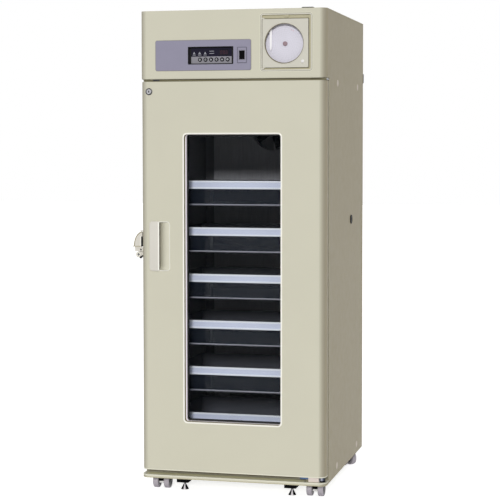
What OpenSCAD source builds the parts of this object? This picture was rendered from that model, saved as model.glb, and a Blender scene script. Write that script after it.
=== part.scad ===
// Upright blood bank refrigerator with a glazed door, a head panel and six drawers.
// Millimetres, +Z up, door front towards -Y.
// The drawing frame has x = 0 on the cabinet's middle, y = 0 on the door's front, z = 0 on the floor.

/* [Cabinet] */
// Width over the side panels
cab_w = 770; // [740:5:820]
// Depth from the door's front to the rear cover
cab_d = 830; // [790:5:880]
// Height from the floor to the top panel
cab_h = 1963; // [1900:1:2010]
// Thickness of the painted sheet
sheet_t = 2; // [1.5:0.1:2.5]
// Thickness of the chamber lining
liner_t = 2; // [1.5:0.1:2.5]
// Radius of the front vertical edges
edge_r = 28; // [20:1:30]
// Insulated side wall, from the outside to the chamber
side_wall = 60; // [56:1:66]
// Insulated floor under the chamber
floor_wall = 66; // [56:1:76]
// Insulated roof over the chamber
roof_wall = 56; // [50:1:66]
// Insulated wall behind the chamber
back_wall = 72; // [62:1:82]
// Play between fixed pieces that slip into each other
fit_play = 0.3; // [0.2:0.05:0.5]
// Radial play of a pin in its bore
pin_play = 0.05; // [0.02:0.01:0.1]
// Play between pieces that move past each other
move_play = 0.3; // [0.2:0.05:0.5]

/* [Base] */
// Height of the base skirt
base_h = 13; // [11:0.5:16]
// Thickness of the base plate and its skirt
base_t = 3; // [2:0.5:4]

/* [Door] */
// Thickness of the door with its inner panel
door_t = 54; // [50:1:60]
// Gap between the door and the cabinet that the seal fills
seal_gap = 10; // [9:0.5:13]
// How much narrower the door is than the cabinet at each side
door_inset = 2; // [1:0.5:4]
// Gap between the base and the door
door_lift = 20.5; // [18:0.5:26]
// Gap between the door and the head panel
head_gap = 12; // [10:0.5:16]
// Thickness of the door's inner panel
door_panel_t = 3; // [2:0.5:4]
// Distance of the hinge axis from the cabinet's side
hinge_inset = 22; // [20:1:24]
// Radius of the hinge pins
hinge_pin_r = 6; // [5:0.5:7]
// Depth of a hinge pin in the door
hinge_pin_l = 24; // [18:1:30]
// Wall of the tubes that take the hinge pins
hinge_tube_wall = 4; // [3:0.5:5]
// Thickness of the upper hinge plate
hinge_plate_t = 5; // [4:0.5:6]
// Height of the lower hinge block above the base
hinge_block_h = 13; // [10:0.5:15]
// Length of a hinge plate along the cabinet's width
hinge_plate_w = 58; // [50:1:66]
// Width of the seal
seal_w = 22; // [18:1:24]
// Distance of the seal from the door's top and bottom edges
seal_margin = 13; // [10:0.5:16]

/* [Window] */
// Door frame beside the window
win_side = 182.5; // [160:0.5:200]
// Door frame above the window
win_top = 212; // [190:1:240]
// Door frame below the window
win_bottom = 203.5; // [180:0.5:240]
// Corner radius of the window
win_r = 12; // [10:1:18]
// Depth of the painted reveal
reveal_d = 30; // [26:1:31]
// Width of the bead that shows inside the reveal
bead_w = 5; // [4:0.5:8]
// Thickness of the bead
bead_t = 4; // [3:0.5:5]
// Thickness of a pane
pane_t = 4; // [3:0.5:5]
// Wall of the glazing channel
channel_wall = 2.5; // [2:0.5:4]

/* [Handle] */
// Distance of the handle from the door's closing edge
handle_side = 36; // [32:1:44]
// Width of the handle insert
handle_w = 87; // [76:1:100]
// Height of the handle insert
handle_h = 202; // [170:1:230]
// Height of the handle's middle above the floor
handle_z = 1013; // [900:1:1100]
// Corner radius of the handle insert
handle_r = 13; // [10:1:16]
// Width of the grip plate that overhangs the pocket
grip_w = 42; // [34:1:46]
// How far the grip plate stands out of the door
grip_out = 5; // [3:0.5:7]
// Depth of the finger pocket
pocket_d = 28; // [24:1:32]
// Wall of the handle moulding
handle_wall = 2.5; // [2:0.1:3]

/* [Lock] */
// Distance of the lock from the door's closing edge
lock_side = 36; // [32:0.5:42]
// Distance of the lock from the door's top
lock_down = 39.5; // [34:0.5:50]
// Radius of the lock plug
lock_r = 9.5; // [8:0.5:11]
// Radius of the ring around the plug
lock_ring_r = 13.5; // [12.5:0.5:15]
// How far the ring stands out
lock_out = 3; // [2:0.5:4]
// Depth of the lock plug in the door
lock_l = 25; // [20:1:30]

/* [Hasp] */
// How far the hasp reaches out of the cabinet's side
hasp_reach = 47; // [42:1:52]
// Height of the hasp plate
hasp_h = 117; // [110:1:126]
// Height of the hasp plate's lower end above the floor
hasp_z = 957; // [880:1:1010]
// Thickness of the hasp plate and its ears
hasp_t = 2.5; // [2:0.5:3]
// Width of the hasp plate
hasp_w = 21; // [19:0.5:21.5]
// Thickness of the lever's arm
lever_t = 4; // [3:0.5:5]
// Gap between the lever's hood and the hasp plate
hood_gap = 4; // [3:0.5:6]
// How far the ears of the lever reach out of the hasp plate
ear_out = 34.5; // [30:0.5:36]
// Radius of the lever's pivot pin
lever_pin_r = 3; // [2.5:0.25:3.5]
// Radius of the padlock hole
eye_r = 4.5; // [4:0.5:5]
// Outer radius of the padlock eye
eye_out_r = 12; // [10:0.5:12.5]
// Thickness of the padlock eye plates
eye_t = 4; // [3:0.5:5]

/* [Head panel] */
// Height of the head panel
head_h = 272.5; // [265:0.5:290]
// Width of the control plate
plate_w = 397; // [380:1:400]
// Height of the control plate
plate_h = 121; // [116:1:130]
// How far the control plate stands out
plate_out = 2; // [1.5:0.5:3]
// Middle of the control plate, across
plate_x = -119.5; // [-125:0.5:-119]
// Middle of the control plate above the head panel's lower edge
plate_z = 92; // [86:0.5:110]
// Corner radius of the control plate
plate_r = 7; // [5:0.5:10]
// Width of the display recess
disp_w = 189; // [176:1:196]
// Height of the display recess
disp_h = 71; // [66:1:78]
// Middle of the display recess, across
disp_x = -87.5; // [-92:0.5:-84]
// Depth of the display's face behind the plate
disp_d = 14; // [10:0.5:18]
// Radius of a push button
button_r = 8; // [7:0.25:9]
// Distance between push buttons
button_pitch = 23; // [21:0.5:24]
// Travel of a push button
button_travel = 2; // [1:0.25:3]
// How far a push button stands out of the display's face
button_out = 3.5; // [3:0.25:5]
// Height of the button row above the recess's lower edge
button_up = 19.5; // [16:0.5:24]
// Middle of the button row from the middle of the recess
button_shift = 10; // [4:0.5:12]
// Width of the switch frame
switch_w = 41.5; // [38:0.5:44]
// Height of the switch frame
switch_h = 66; // [56:1:70]
// Distance of the switch's middle from the control plate's right end
switch_end = 36.25; // [35:0.25:38]
// Width of the rocker
rocker_w = 21.5; // [19:0.5:23]
// Radius of the rocker's ends about its pivot
rocker_r = 17; // [15:0.5:18]
// Angle of the rocker to either side
rocker_tilt = 7; // [5:0.5:9]

/* [Chart recorder] */
// Width of the recorder pocket
rec_w = 203; // [196:1:210]
// Height of the recorder pocket
rec_h = 220; // [212:1:228]
// Middle of the recorder pocket, across
rec_x = 223; // [218:0.5:226]
// Middle of the recorder pocket above the head panel's lower edge
rec_z = 139.5; // [134:0.5:144]
// Depth of the recorder pocket
rec_d = 60; // [50:1:80]
// Thickness of the recorder door
rec_door_t = 6; // [5:0.5:8]
// Width of the recorder door
rec_door_w = 186.5; // [182:0.5:188]
// Height of the recorder door
rec_door_h = 191.5; // [186:0.5:196]
// Radius of the round opening in the recorder door
rec_open_r = 79; // [74:0.5:80]
// Radius of the chart disc
chart_r = 88; // [85:0.5:89]
// Thickness of the chart disc
chart_t = 1.5; // [1:0.25:2]
// Radius of the chart hub
chart_hub_r = 9.5; // [8:0.5:12]
// Length of the pen arm
pen_l = 106; // [90:1:108]
// Width of the pen arm
pen_w = 8; // [6:0.5:9]

/* [Drawers] */
// Height of a drawer
drawer_h = 103; // [96:1:110]
// Distance between drawers
drawer_pitch = 193; // [170:0.1:210]
// Space under the lowest drawer
drawer_low = 68.5; // [60:0.5:90]
// Distance of the drawer fronts behind the door's front
drawer_y = 146; // [142:1:152]
// Space between a drawer and the air duct
drawer_gap = 110; // [20:5:130]
// Space beside a drawer for its runner
runner_space = 27; // [27:0.5:32]
// Height of the front rail
rail_h = 34; // [30:1:38]
// Depth of the front rail
rail_d = 16; // [14:1:20]
// Thickness of the rail's web and of its edges
rail_t = 5; // [4:0.5:6]
// Height of the tray's front lip
lip_h = 7; // [5:0.5:9]
// Thickness of the tray's sheet
tray_t = 2; // [1.5:0.1:2.5]
// Thickness of the clear front pane
drawer_pane_t = 4; // [3:0.5:5]
// Height of a slide bar
slide_h = 24; // [20:1:28]
// Play between a slide bar's edge and the web of its channel
slide_play = 5; // [4:0.5:6]
// Depth of the runner channel
channel_w = 14; // [12:0.5:16]
// Wall of the runner channel
channel_t = 2.5; // [2:0.25:3]

/* [Air duct and machine bay] */
// Depth of the air duct behind the drawers
duct_d = 56; // [52:1:62]
// Space beside the air duct
duct_side = 54; // [15:1:60]
// Inner radius of a fan ring
fan_r = 95; // [80:1:98]
// Length of a fan ring
fan_l = 46; // [44:1:50]
// Radius of a fan motor
motor_r = 24; // [20:1:28]
// Radius of a fan shaft
shaft_r = 3; // [2.5:0.5:4]
// Radius of the compressor shell
comp_r = 85; // [70:1:90]
// Height of the compressor shell
comp_h = 190; // [160:1:200]
// Width of the condenser
cond_w = 280; // [250:5:300]
// Height of the condenser
cond_h = 220; // [205:1:230]
// Depth of the condenser
cond_d = 44; // [36:1:56]

/* [Casters and feet] */
// Diameter of a caster wheel
wheel_d = 60; // [56:1:64]
// Width of a caster wheel
wheel_w = 23; // [18:1:24]
// Gap between the two wheels of a caster
wheel_gap = 24; // [20:1:26]
// Offset of the wheel axle from the king pin
trail = 16; // [12:1:20]
// Radius of a wheel axle
axle_r = 4; // [3:0.5:5]
// Radius of a king pin
king_r = 5; // [4:0.5:6]
// Distance of the king pins from the cabinet's sides
caster_side = 59.5; // [58:0.5:70]
// Distance of the front king pins from the door's front
caster_front = 113; // [90:1:130]
// Distance of the rear king pins from the rear cover
caster_rear = 114; // [90:1:140]
// Turn of the rear casters about their king pins
rear_turn = 50; // [0:5:180]
// Distance of the levelling feet from the cabinet's middle
foot_x = 228; // [200:1:236]
// Distance of the levelling feet from the door's front
foot_y = 92; // [70:1:110]
// Radius of a foot's base
foot_r = 15; // [14:0.5:20]
// Radius of a foot's stud
stud_r = 5; // [4:0.5:6]
// Travel of a foot when it is screwed up
foot_travel = 8; // [5:0.5:9]

/* [Plugs and spacers] */
// Radius of a hole plug's head
plug_r = 14; // [12:0.5:16]
// Radius of the port cap
port_r = 19.5; // [16:0.5:22]
// Height of the port cap above the floor
port_z = 1105; // [1000:1:1200]
// How far the rear wall spacers stand out
spacer_out = 36; // [28:1:44]
// Height of a rear wall spacer
spacer_h = 45; // [38:1:52]
// Radius of the mains lead's gland
gland_r = 11; // [9:0.5:13]
// How far the gland stands out of the rear cover
gland_l = 14; // [10:0.5:20]

/* [Hidden] */
// True circles
$fn = 48;
// Overlap of a cut past the face that it opens
cut = 1;

// Heights
base_z = wheel_d + 1;
base_top = base_z + base_h;
head_z0 = cab_h - head_h;
door_z0 = base_top + door_lift;
door_z1 = head_z0 - head_gap;
deck_z = head_z0 + 5.5;
chamber_z0 = base_top + floor_wall;
chamber_z1 = deck_z - roof_wall;

// Depths
case_y = door_t + seal_gap;
rear_cover_t = 2;
back_y = cab_d - rear_cover_t;
chamber_y = back_y - back_wall;
door_back = door_t - door_panel_t;

// Widths from the middle
case_in = cab_w / 2 - sheet_t;
chamber_x = cab_w / 2 - side_wall;
door_w = cab_w - 2 * door_inset;
door_left = -door_w / 2;

// Hinge
hinge_x = cab_w / 2 - hinge_inset;
hinge_y = door_t / 2;
hinge_tube_r = hinge_pin_r + pin_play + hinge_tube_wall;
hinge_tube_l = hinge_pin_l + 6;
hinge_front = 12;
hinge_block_w = 46;
hinge_block_d = 40;
hinge_bridge = 16;
hinge_bridge_w = 16;

// Window
win_w = door_w - 2 * win_side;
win_z0 = door_z0 + win_bottom;
win_h = door_z1 - win_top - win_z0;
win_mid = win_z0 + win_h / 2;
sight_r = win_r - bead_w;
reveal_w = win_w + 2 * sheet_t;
reveal_h = win_h + 2 * sheet_t;
reveal_r = win_r + sheet_t;
glass_w = reveal_w - 2 * channel_wall;
glass_h = reveal_h - 2 * channel_wall;
glass_r = reveal_r - channel_wall;
pane_y = reveal_d + bead_t;
inner_pane_y = door_back - pane_t;

// Handle
handle_x = door_left + handle_side + handle_w / 2;
handle_left = handle_x - handle_w / 2;
handle_flange = 2;
handle_rim = 3;
handle_back = pocket_d + handle_wall;
handle_body_w = handle_w - 2 * handle_rim;
handle_body_h = handle_h - 2 * handle_rim;
handle_body_r = handle_r - handle_rim;
pocket_left = handle_left + grip_w;
pocket_w = handle_w - grip_w - handle_rim - handle_wall;

// Lock
lock_x = door_left + lock_side;
lock_z = door_z1 - lock_down;
lock_sleeve_r = lock_r + pin_play + 2;
lock_face = -lock_out - 1;
key_w = 2.4;
key_h = 10;
key_d = 6;

// Hasp, drawn on the door's closing side
hasp_x = door_left - hasp_t;
hasp_y = door_back - hasp_w;
hasp_tip = cab_w / 2 + hasp_reach;
lever_x = hasp_x - 9;
lever_z = hasp_z + 39;
lever_boss_r = 7;
lever_y = hasp_y + hasp_t + move_play;
lever_w = hasp_w - 2 * hasp_t - 2 * move_play;
hood_z = lever_z + 14;
fin_out = 8;
fin_t = 2;
hasp_cap_t = 3;
hasp_cap_out = 13;
hood_play = 2;
hood_out = hasp_tip + hasp_x - fin_out;
hood_top = hasp_z + hasp_h - hasp_cap_t - hood_play - hood_z;
hood_steps = 12;
eye_x = -cab_w / 2 - 22.5;
eye_z = hasp_z + 18;
eye_y = hasp_y + hasp_w / 2 - eye_t / 2;
case_eye_y = case_y + 4;

// Seal
seal_x = hinge_x - 1;
seal_z0 = door_z0 + seal_margin + 2.5;
seal_z1 = door_z1 - seal_margin;
seal_t = seal_gap - 0.4;
seal_mid = (seal_z0 + seal_z1) / 2;
seal_r = 10;

// Head panel
ctrl_z = head_z0 + plate_z;
disp_z = ctrl_z - 1;
disp_face = disp_d - plate_out;
disp_wall = 2;
disp_floor = 3;
disp_l = 42;
disp_flange = 5;
board_t = 2;
button_flange = 1.3;
button_flange_t = 3.4;
button_end = disp_face + disp_floor + move_play + button_flange_t;
board_y = button_end + button_travel + move_play;
button_z = disp_z - disp_h / 2 + button_up;
button_x0 = disp_x + button_shift - 2.5 * button_pitch;
switch_x = plate_x + plate_w / 2 - switch_end;
switch_z = ctrl_z - 1;
switch_out = 1.5;
switch_wall = 5.5;
switch_l = 16;
switch_open_w = rocker_w + 2 * fit_play;
switch_open_h = 2 * (rocker_r + fit_play);
switch_box_w = switch_open_w + 2 * switch_wall;
switch_box_h = switch_open_h + 2 * switch_wall;
rocker_y = 2;
rocker_pin_r = 1.5;
rocker_pin_l = 2.5;

// Chart recorder
rec_mid = head_z0 + rec_z;
rec_wall = 2;
rec_r = 8;
rec_rim = 3;
rec_rim_t = 1;
rec_in_w = rec_w - 2 * rec_wall;
rec_in_h = rec_h - 2 * rec_wall;
rec_left = rec_x - rec_w / 2;
rec_door_left = rec_left + rec_wall + 1.6;
rec_door_x = rec_door_left + rec_door_w / 2;
rec_door_z = rec_mid - 4;
rec_door_y = 2;
rec_pin_x = rec_door_left + 4;
rec_pin_y = rec_door_y + rec_door_t / 2;
rec_pin_r = 2;
rec_lug_t = 5;
rec_lug_r = 4.5;
chart_x = rec_x - 9.5;
chart_z = rec_door_z - 1;
chart_y = 24;
chart_hub_l = 6;
platen_y = 30;
platen_t = 6;
spindle_r = 3;
pen_x = chart_x - 57;
pen_z = chart_z + 79;
pen_y = 14;
pen_t = 2;
pen_boss_r = 5;
pen_boss_l = 4;
pen_pin_r = 2;
knob_r = 6.5;
knob_out = 4;
knob_x = chart_x + 75.5;
knob_z = chart_z - 71;

// Drawers
drawer_x = chamber_x - runner_space;
drawer_back = chamber_y - duct_d - drawer_gap;
drawer_count = 6;
slide_drop = rail_h / 2 + drawer_h / 2 - 10;
slide_start = drawer_y + 54;
runner_start = drawer_y + 24;
runner_end = drawer_back + 10;
tray_drop = 6;
rail_edge = 2.5;
function drawer_top(n) = chamber_z0 + drawer_low + drawer_h + (n - 1) * drawer_pitch;

// Air duct
duct_y = chamber_y - duct_d;
duct_x = chamber_x - duct_side;
duct_z0 = chamber_z0 + 30;
duct_z1 = chamber_z1 - 10;
duct_t = 2;
duct_fan_z = duct_z1 - fan_r - 40;
duct_slot_w = 400;
duct_slot_h = 12;
duct_slot_pitch = 30;
duct_slots = 8;
fan_wall = 3;
motor_l = 24;
spoke_w = 8;
spoke_t = 6;
hub_r = 26;
hub_l = 16;
blade_count = 5;
blade_t = 2.5;
blade_w = 34;
blade_tip = 6;
blade_pitch = 28;
coil_w = 400;
coil_h = 200;
coil_d = 40;
coil_z = duct_fan_z - fan_r - 40 - coil_h;
fin_slots = 20;
fin_gap = 9;
fin_header = 12;

// Machine bay
bay_z = deck_z + sheet_t;
comp_x = -190;
comp_y = 560;
comp_foot = 10;
comp_plate_t = 4;
comp_plate_w = 210;
comp_plate_d = 130;
comp_foot_r = 12;
comp_foot_in = 14;
comp_shoulder = 45;
comp_dome = 8;
comp_dome_r = comp_r - 26;
comp_base = 10;
comp_base_r = comp_r - 8;
cond_x = 150;
cond_y = 610;
cond_leg = 6;
cond_leg_w = 24;
cond_leg_in = 20;
cond_plate_t = 3;
rear_w = cab_w - 90;
rear_h = head_h - 40;
rear_z = bay_z + 14;
rear_lap = 12;
louvre_rows = 9;
louvre_w = 260;
louvre_h = 8;
louvre_pitch = 21;
gland_x = rear_w / 2 - 18;
gland_z = rear_z + 20;
gland_nut_t = 5;

// Casters and feet
plate_t = 3;
plate_side = 78;
fork_top = base_top - base_t - plate_t - move_play;
fork_disc_h = fork_top - base_z - 0.5;
fork_disc_r = 22;
stem_w = wheel_gap - 2;
stem_d = 22;
stem_low = 9;
axle_z = wheel_d / 2;
caster_x = cab_w / 2 - caster_side;
caster_rear_y = cab_d - caster_rear;
foot_disc_h = 3;
foot_neck_r = 6;
bracket_w = 59;
bracket_d = 40;
bracket_drop = 31;
bracket_chamfer = 10;
bracket_z = base_z - bracket_drop;
foot_cone_h = bracket_z - foot_disc_h - foot_travel - 2;
stud_top = bracket_z + 10;

// Plugs and spacers
plug_t = 1.5;
plug_shank_r = plug_r - 3;
plug_top_z = door_z1 - 3;
plug_low_z = base_top + 25;
plug_front_y = case_y + 170;
plug_back_y = back_y - 139;
port_y = back_y - 289;
port_t = 4;
spacer_w = 25;
spacer_x = (cab_w - spacer_w) / 2 - 1;
spacer_z = head_z0 + 31;
cap_w = 48;
cap_d = 40;
cap_h = 6;
cap_x = cab_w / 2 - 82;
cap_y = 45;

// The part's origin: floor level under the middle of its whole box
origin_x = (hasp_reach - port_t) / 2;
origin_y = -(cab_d + spacer_out - grip_out) / 2;

// Colours
paint = [0.82, 0.80, 0.73];
pale = [0.84, 0.82, 0.78];
steel = [0.75, 0.77, 0.80];
zinc = [0.70, 0.71, 0.73];
black = [0.06, 0.06, 0.07];
grey = [0.58, 0.57, 0.58];
white = [0.92, 0.92, 0.90];
lining = [0.30, 0.31, 0.33];
foam = [0.90, 0.84, 0.62];
clear = [0.55, 0.62, 0.70, 0.35];
plate_blue = [0.57, 0.55, 0.62];

// Shapes that repeat

// Block between two opposite corners
module block(low, high) {
    translate(low) cube(high - low);
}

// Plan outline with its two front corners rounded, front edge on y = 0
module front_round(w, d, r) {
    translate([-w / 2, r]) square([w, d - r]);
    translate([-w / 2 + r, 0]) square([w - 2 * r, d]);
    for (side = [-1, 1]) intersection() {
        translate([side * (w / 2 - r), r]) circle(r);
        translate([-w / 2, 0]) square([w, r]);
    }
}

// Rectangle with rounded corners about its middle
module round_rect(w, h, r) {
    square([w - 2 * r, h], center = true);
    square([w, h - 2 * r], center = true);
    for (sx = [-1, 1], sy = [-1, 1]) translate([sx * (w / 2 - r), sy * (h / 2 - r)]) circle(r);
}

// Upright plate: an outline in x and z, from depth y0 to y1
module upright(y0, y1) {
    translate([0, y1, 0]) rotate([90, 0, 0]) linear_extrude(y1 - y0) children();
}

// Upright rounded plate about a middle
module pad(x, z, w, h, r, y0, y1) {
    translate([x, 0, z]) upright(y0, y1) round_rect(w, h, r);
}

// Upright rounded frame about a middle
module frame(x, z, w, h, r, in_w, in_h, in_r, y0, y1) {
    difference() {
        pad(x, z, w, h, r, y0, y1);
        pad(x, z, in_w, in_h, in_r, y0 - cut, y1 + cut);
    }
}

// Bar along x: an outline in y and z
module along_x(x0, x1) {
    translate([x0, 0, 0]) rotate([90, 0, 90]) linear_extrude(x1 - x0) children();
}

// Round rods along the axes
module rod_x(r, x0, x1, y, z) {
    translate([x0, y, z]) rotate([0, 90, 0]) cylinder(r = r, h = x1 - x0);
}

module rod_y(r, y0, y1, x, z) {
    translate([x, y1, z]) rotate([90, 0, 0]) cylinder(r = r, h = y1 - y0);
}

module rod_z(r, z0, z1, x, y) {
    translate([x, y, z0]) cylinder(r = r, h = z1 - z0);
}

// Moves a piece from the drawing frame to the part's origin
module place() {
    translate([origin_x, origin_y, 0]) children();
}

// Padlock eye plate that stands out of the left side, from x1 out to the eye
module eye_plate(x1, y0) {
    difference() {
        union() {
            rod_y(eye_out_r, y0, y0 + eye_t, eye_x, eye_z);
            block([eye_x, y0, eye_z - eye_out_r], [x1, y0 + eye_t, eye_z + eye_out_r]);
        }
        rod_y(eye_r, y0 - cut, y0 + eye_t + cut, eye_x, eye_z);
    }
}

// Cabinet

module plug_holes() {
    for (side = [-1, 1], y = [plug_front_y, plug_back_y], z = [plug_low_z, plug_top_z]) {
        mirror([side < 0 ? 1 : 0, 0, 0]) rod_x(plug_shank_r + fit_play, case_in - cut, cab_w / 2 + cut, y, z);
    }
}

module outer_case() color(paint) {
    difference() {
        block([-cab_w / 2, case_y, base_top], [cab_w / 2, back_y, cab_h]);
        block([-case_in, case_y - cut, base_top + sheet_t], [case_in, back_y - sheet_t, deck_z]);
        block([-case_in, case_y - cut, bay_z], [case_in, back_y - sheet_t, cab_h - sheet_t]);
        block([-rear_w / 2, back_y - sheet_t - cut, rear_z], [rear_w / 2, back_y + cut, rear_z + rear_h]);
        plug_holes();
    }
    eye_plate(-cab_w / 2, case_eye_y);
}

module inner_liner() color(lining) difference() {
    union() {
        block(
            [-chamber_x - liner_t, case_y, chamber_z0 - liner_t],
            [chamber_x + liner_t, chamber_y + liner_t, chamber_z1 + liner_t]
        );
        block(
            [-case_in + fit_play, case_y, base_top + sheet_t + fit_play],
            [case_in - fit_play, case_y + liner_t, deck_z - fit_play]
        );
    }
    block([-chamber_x, case_y - cut, chamber_z0], [chamber_x, chamber_y, chamber_z1]);
}

module insulation_foam() color(foam) difference() {
    block([-case_in, case_y + liner_t, base_top + sheet_t], [case_in, back_y - sheet_t, deck_z]);
    block(
        [-chamber_x - liner_t, case_y, chamber_z0 - liner_t],
        [chamber_x + liner_t, chamber_y + liner_t, chamber_z1 + liner_t]
    );
}

module base_frame() color(paint) difference() {
    translate([0, 0, base_z]) linear_extrude(base_h) front_round(cab_w, back_y, edge_r);
    translate([0, base_t, base_z - cut])
        linear_extrude(base_h - base_t + cut)
            front_round(cab_w - 2 * base_t, back_y - 2 * base_t, edge_r - base_t);
}

module head_panel() color(paint) difference() {
    translate([0, 0, head_z0]) linear_extrude(head_h) front_round(cab_w, case_y, edge_r);
    translate([0, sheet_t, head_z0 + sheet_t])
        linear_extrude(head_h - 2 * sheet_t)
            front_round(cab_w - 2 * sheet_t, case_y, edge_r - sheet_t);
    pad(disp_x, disp_z, disp_w, disp_h, 3, -cut, sheet_t + cut);
    block(
        [switch_x - switch_box_w / 2 - fit_play, -cut, switch_z - switch_box_h / 2 - fit_play],
        [switch_x + switch_box_w / 2 + fit_play, sheet_t + cut, switch_z + switch_box_h / 2 + fit_play]
    );
    pad(rec_x, rec_mid, rec_w + 2 * fit_play, rec_h + 2 * fit_play, rec_r + fit_play, -cut, sheet_t + cut);
}

// Head panel fittings

module control_plate() color(plate_blue) difference() {
    union() {
        pad(plate_x, ctrl_z, plate_w, plate_h, plate_r, -plate_out, 0);
        pad(switch_x, switch_z, switch_w, switch_h, 3, -plate_out - switch_out, 0);
        block(
            [switch_x - switch_box_w / 2, -cut, switch_z - switch_box_h / 2],
            [switch_x + switch_box_w / 2, switch_l, switch_z + switch_box_h / 2]
        );
    }
    pad(disp_x, disp_z, disp_w, disp_h, 3, -plate_out - cut, cut);
    block(
        [switch_x - switch_open_w / 2, -plate_out - switch_out - cut, switch_z - switch_open_h / 2],
        [switch_x + switch_open_w / 2, switch_l + cut, switch_z + switch_open_h / 2]
    );
    rod_x(
        rocker_pin_r + pin_play,
        switch_x - switch_open_w / 2 - rocker_pin_l - 1,
        switch_x + switch_open_w / 2 + rocker_pin_l + 1,
        rocker_y, switch_z
    );
}

module rocker_switch() color(black) {
    translate([switch_x, rocker_y, switch_z]) rotate([rocker_tilt, 0, 0]) {
        along_x(-rocker_w / 2, rocker_w / 2) intersection() {
            circle(rocker_r);
            polygon([[-6, -20], [-4, 0], [-6, 20], [9, 20], [9, -20]]);
        }
        rod_x(rocker_pin_r, -rocker_w / 2 - rocker_pin_l, rocker_w / 2 + rocker_pin_l, 0, 0);
    }
}

module display_module() color(black) {
    w = disp_w - 2 * fit_play;
    h = disp_h - 2 * fit_play;
    difference() {
        union() {
            frame(
                disp_x, disp_z, w, h, 3 - fit_play,
                w - 2 * disp_wall, h - 2 * disp_wall, 1, -plate_out, disp_l
            );
            pad(disp_x, disp_z, w, h, 3 - fit_play, disp_face, disp_face + disp_floor);
            pad(disp_x, disp_z, w, h, 3 - fit_play, board_y, board_y + board_t);
            frame(
                disp_x, disp_z, w + 2 * disp_flange, h + 2 * disp_flange, 3,
                w - disp_wall, h - disp_wall, 1, sheet_t, 2 * sheet_t
            );
        }
        for (n = [0 : 5]) {
            rod_y(
                button_r + move_play, disp_face - cut, disp_face + disp_floor + cut,
                button_x0 + n * button_pitch, button_z
            );
        }
    }
}

module button(n) color(grey) {
    x = button_x0 + (n - 1) * button_pitch;
    rod_y(button_r, disp_face - button_out, button_end, x, button_z);
    rod_y(button_r + button_flange, button_end - button_flange_t, button_end, x, button_z);
}

// Chart recorder

module recorder_housing() color(pale) {
    pin_low = rec_door_z - rec_door_h / 2 - move_play;
    pin_high = rec_door_z + rec_door_h / 2 + move_play;
    difference() {
        union() {
            frame(rec_x, rec_mid, rec_w, rec_h, rec_r, rec_in_w, rec_in_h, rec_r - rec_wall, 0, rec_d);
            frame(
                rec_x, rec_mid, rec_w + 2 * rec_rim, rec_h + 2 * rec_rim, rec_r + rec_rim,
                rec_in_w, rec_in_h, rec_r - rec_wall, -rec_rim_t, 0
            );
            pad(rec_x, rec_mid, rec_w - rec_wall, rec_h - rec_wall, rec_r, platen_y, platen_y + platen_t);
            for (z = [pin_low - rec_lug_t, pin_high]) {
                block(
                    [rec_left + rec_wall / 2, rec_pin_y - rec_lug_r, z],
                    [rec_pin_x + rec_lug_r, rec_pin_y + rec_lug_r, z + rec_lug_t]
                );
            }
        }
        rod_z(
            rec_pin_r + pin_play, pin_low - rec_lug_t - cut, pin_high + rec_lug_t + cut,
            rec_pin_x, rec_pin_y
        );
        rod_y(spindle_r + pin_play, platen_y - cut, platen_y + platen_t + cut, chart_x, chart_z);
        rod_y(pen_pin_r + pin_play, platen_y - cut, platen_y + platen_t + cut, pen_x, pen_z);
    }
}

module recorder_door() color(pale) {
    pin_low = rec_door_z - rec_door_h / 2 - move_play - rec_lug_t;
    pin_high = rec_door_z + rec_door_h / 2 + move_play + rec_lug_t;
    difference() {
        pad(rec_door_x, rec_door_z, rec_door_w, rec_door_h, 3, rec_door_y, rec_door_y + rec_door_t);
        rod_y(rec_open_r, rec_door_y - cut, rec_door_y + rec_door_t + cut, chart_x, chart_z);
    }
    rod_z(rec_pin_r, pin_low, pin_high, rec_pin_x, rec_pin_y);
    rod_y(knob_r, rec_door_y - knob_out, rec_door_y + cut, knob_x, knob_z);
}

module chart_disc() color(white) {
    rod_y(chart_r, chart_y, chart_y + chart_t, chart_x, chart_z);
    rod_y(chart_hub_r, chart_y - chart_hub_l, chart_y + chart_t, chart_x, chart_z);
    rod_y(spindle_r, chart_y, platen_y + platen_t, chart_x, chart_z);
}

module pen_arm() color(pale) {
    translate([pen_x, 0, pen_z]) {
        block([-pen_w / 2, pen_y, -pen_l], [pen_w / 2, pen_y + pen_t, 0]);
        rod_y(pen_boss_r, pen_y - 1, pen_y - 1 + pen_boss_l, 0, 0);
        rod_y(pen_pin_r, pen_y, platen_y + platen_t, 0, 0);
    }
}

// Door hinge

module hinge_brackets() color(zinc) {
    upper_z = door_z1 + (head_gap - hinge_plate_t) / 2;
    block(
        [case_in - hinge_plate_w, hinge_y - hinge_front, upper_z],
        [case_in - fit_play, case_y, upper_z + hinge_plate_t]
    );
    rod_z(hinge_pin_r, door_z1 - hinge_pin_l, upper_z + cut, hinge_x, hinge_y);
    block(
        [hinge_x - hinge_bridge - hinge_block_w, hinge_y - hinge_front, base_top],
        [hinge_x - hinge_bridge, hinge_y - hinge_front + hinge_block_d, base_top + hinge_block_h]
    );
    block(
        [hinge_x - hinge_bridge - cut, hinge_y - hinge_bridge_w / 2, base_top],
        [hinge_x, hinge_y + hinge_bridge_w / 2, base_top + hinge_block_h / 2]
    );
    rod_z(hinge_tube_r, base_top, door_z0 - move_play, hinge_x, hinge_y);
    rod_z(hinge_pin_r, base_top, door_z0 + hinge_pin_l, hinge_x, hinge_y);
}

// Door

module hinge_tubes(r, play) {
    rod_z(r, door_z0, door_z0 + hinge_tube_l + play, hinge_x, hinge_y);
    rod_z(r, door_z1 - hinge_tube_l - play, door_z1, hinge_x, hinge_y);
}

// Door outline as a solid, drawn in by an inset on every side but the back
module door_body(inset, depth) {
    translate([0, inset, door_z0 + inset])
        linear_extrude(door_z1 - door_z0 - 2 * inset)
            front_round(door_w - 2 * inset, depth, edge_r - inset);
}

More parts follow.
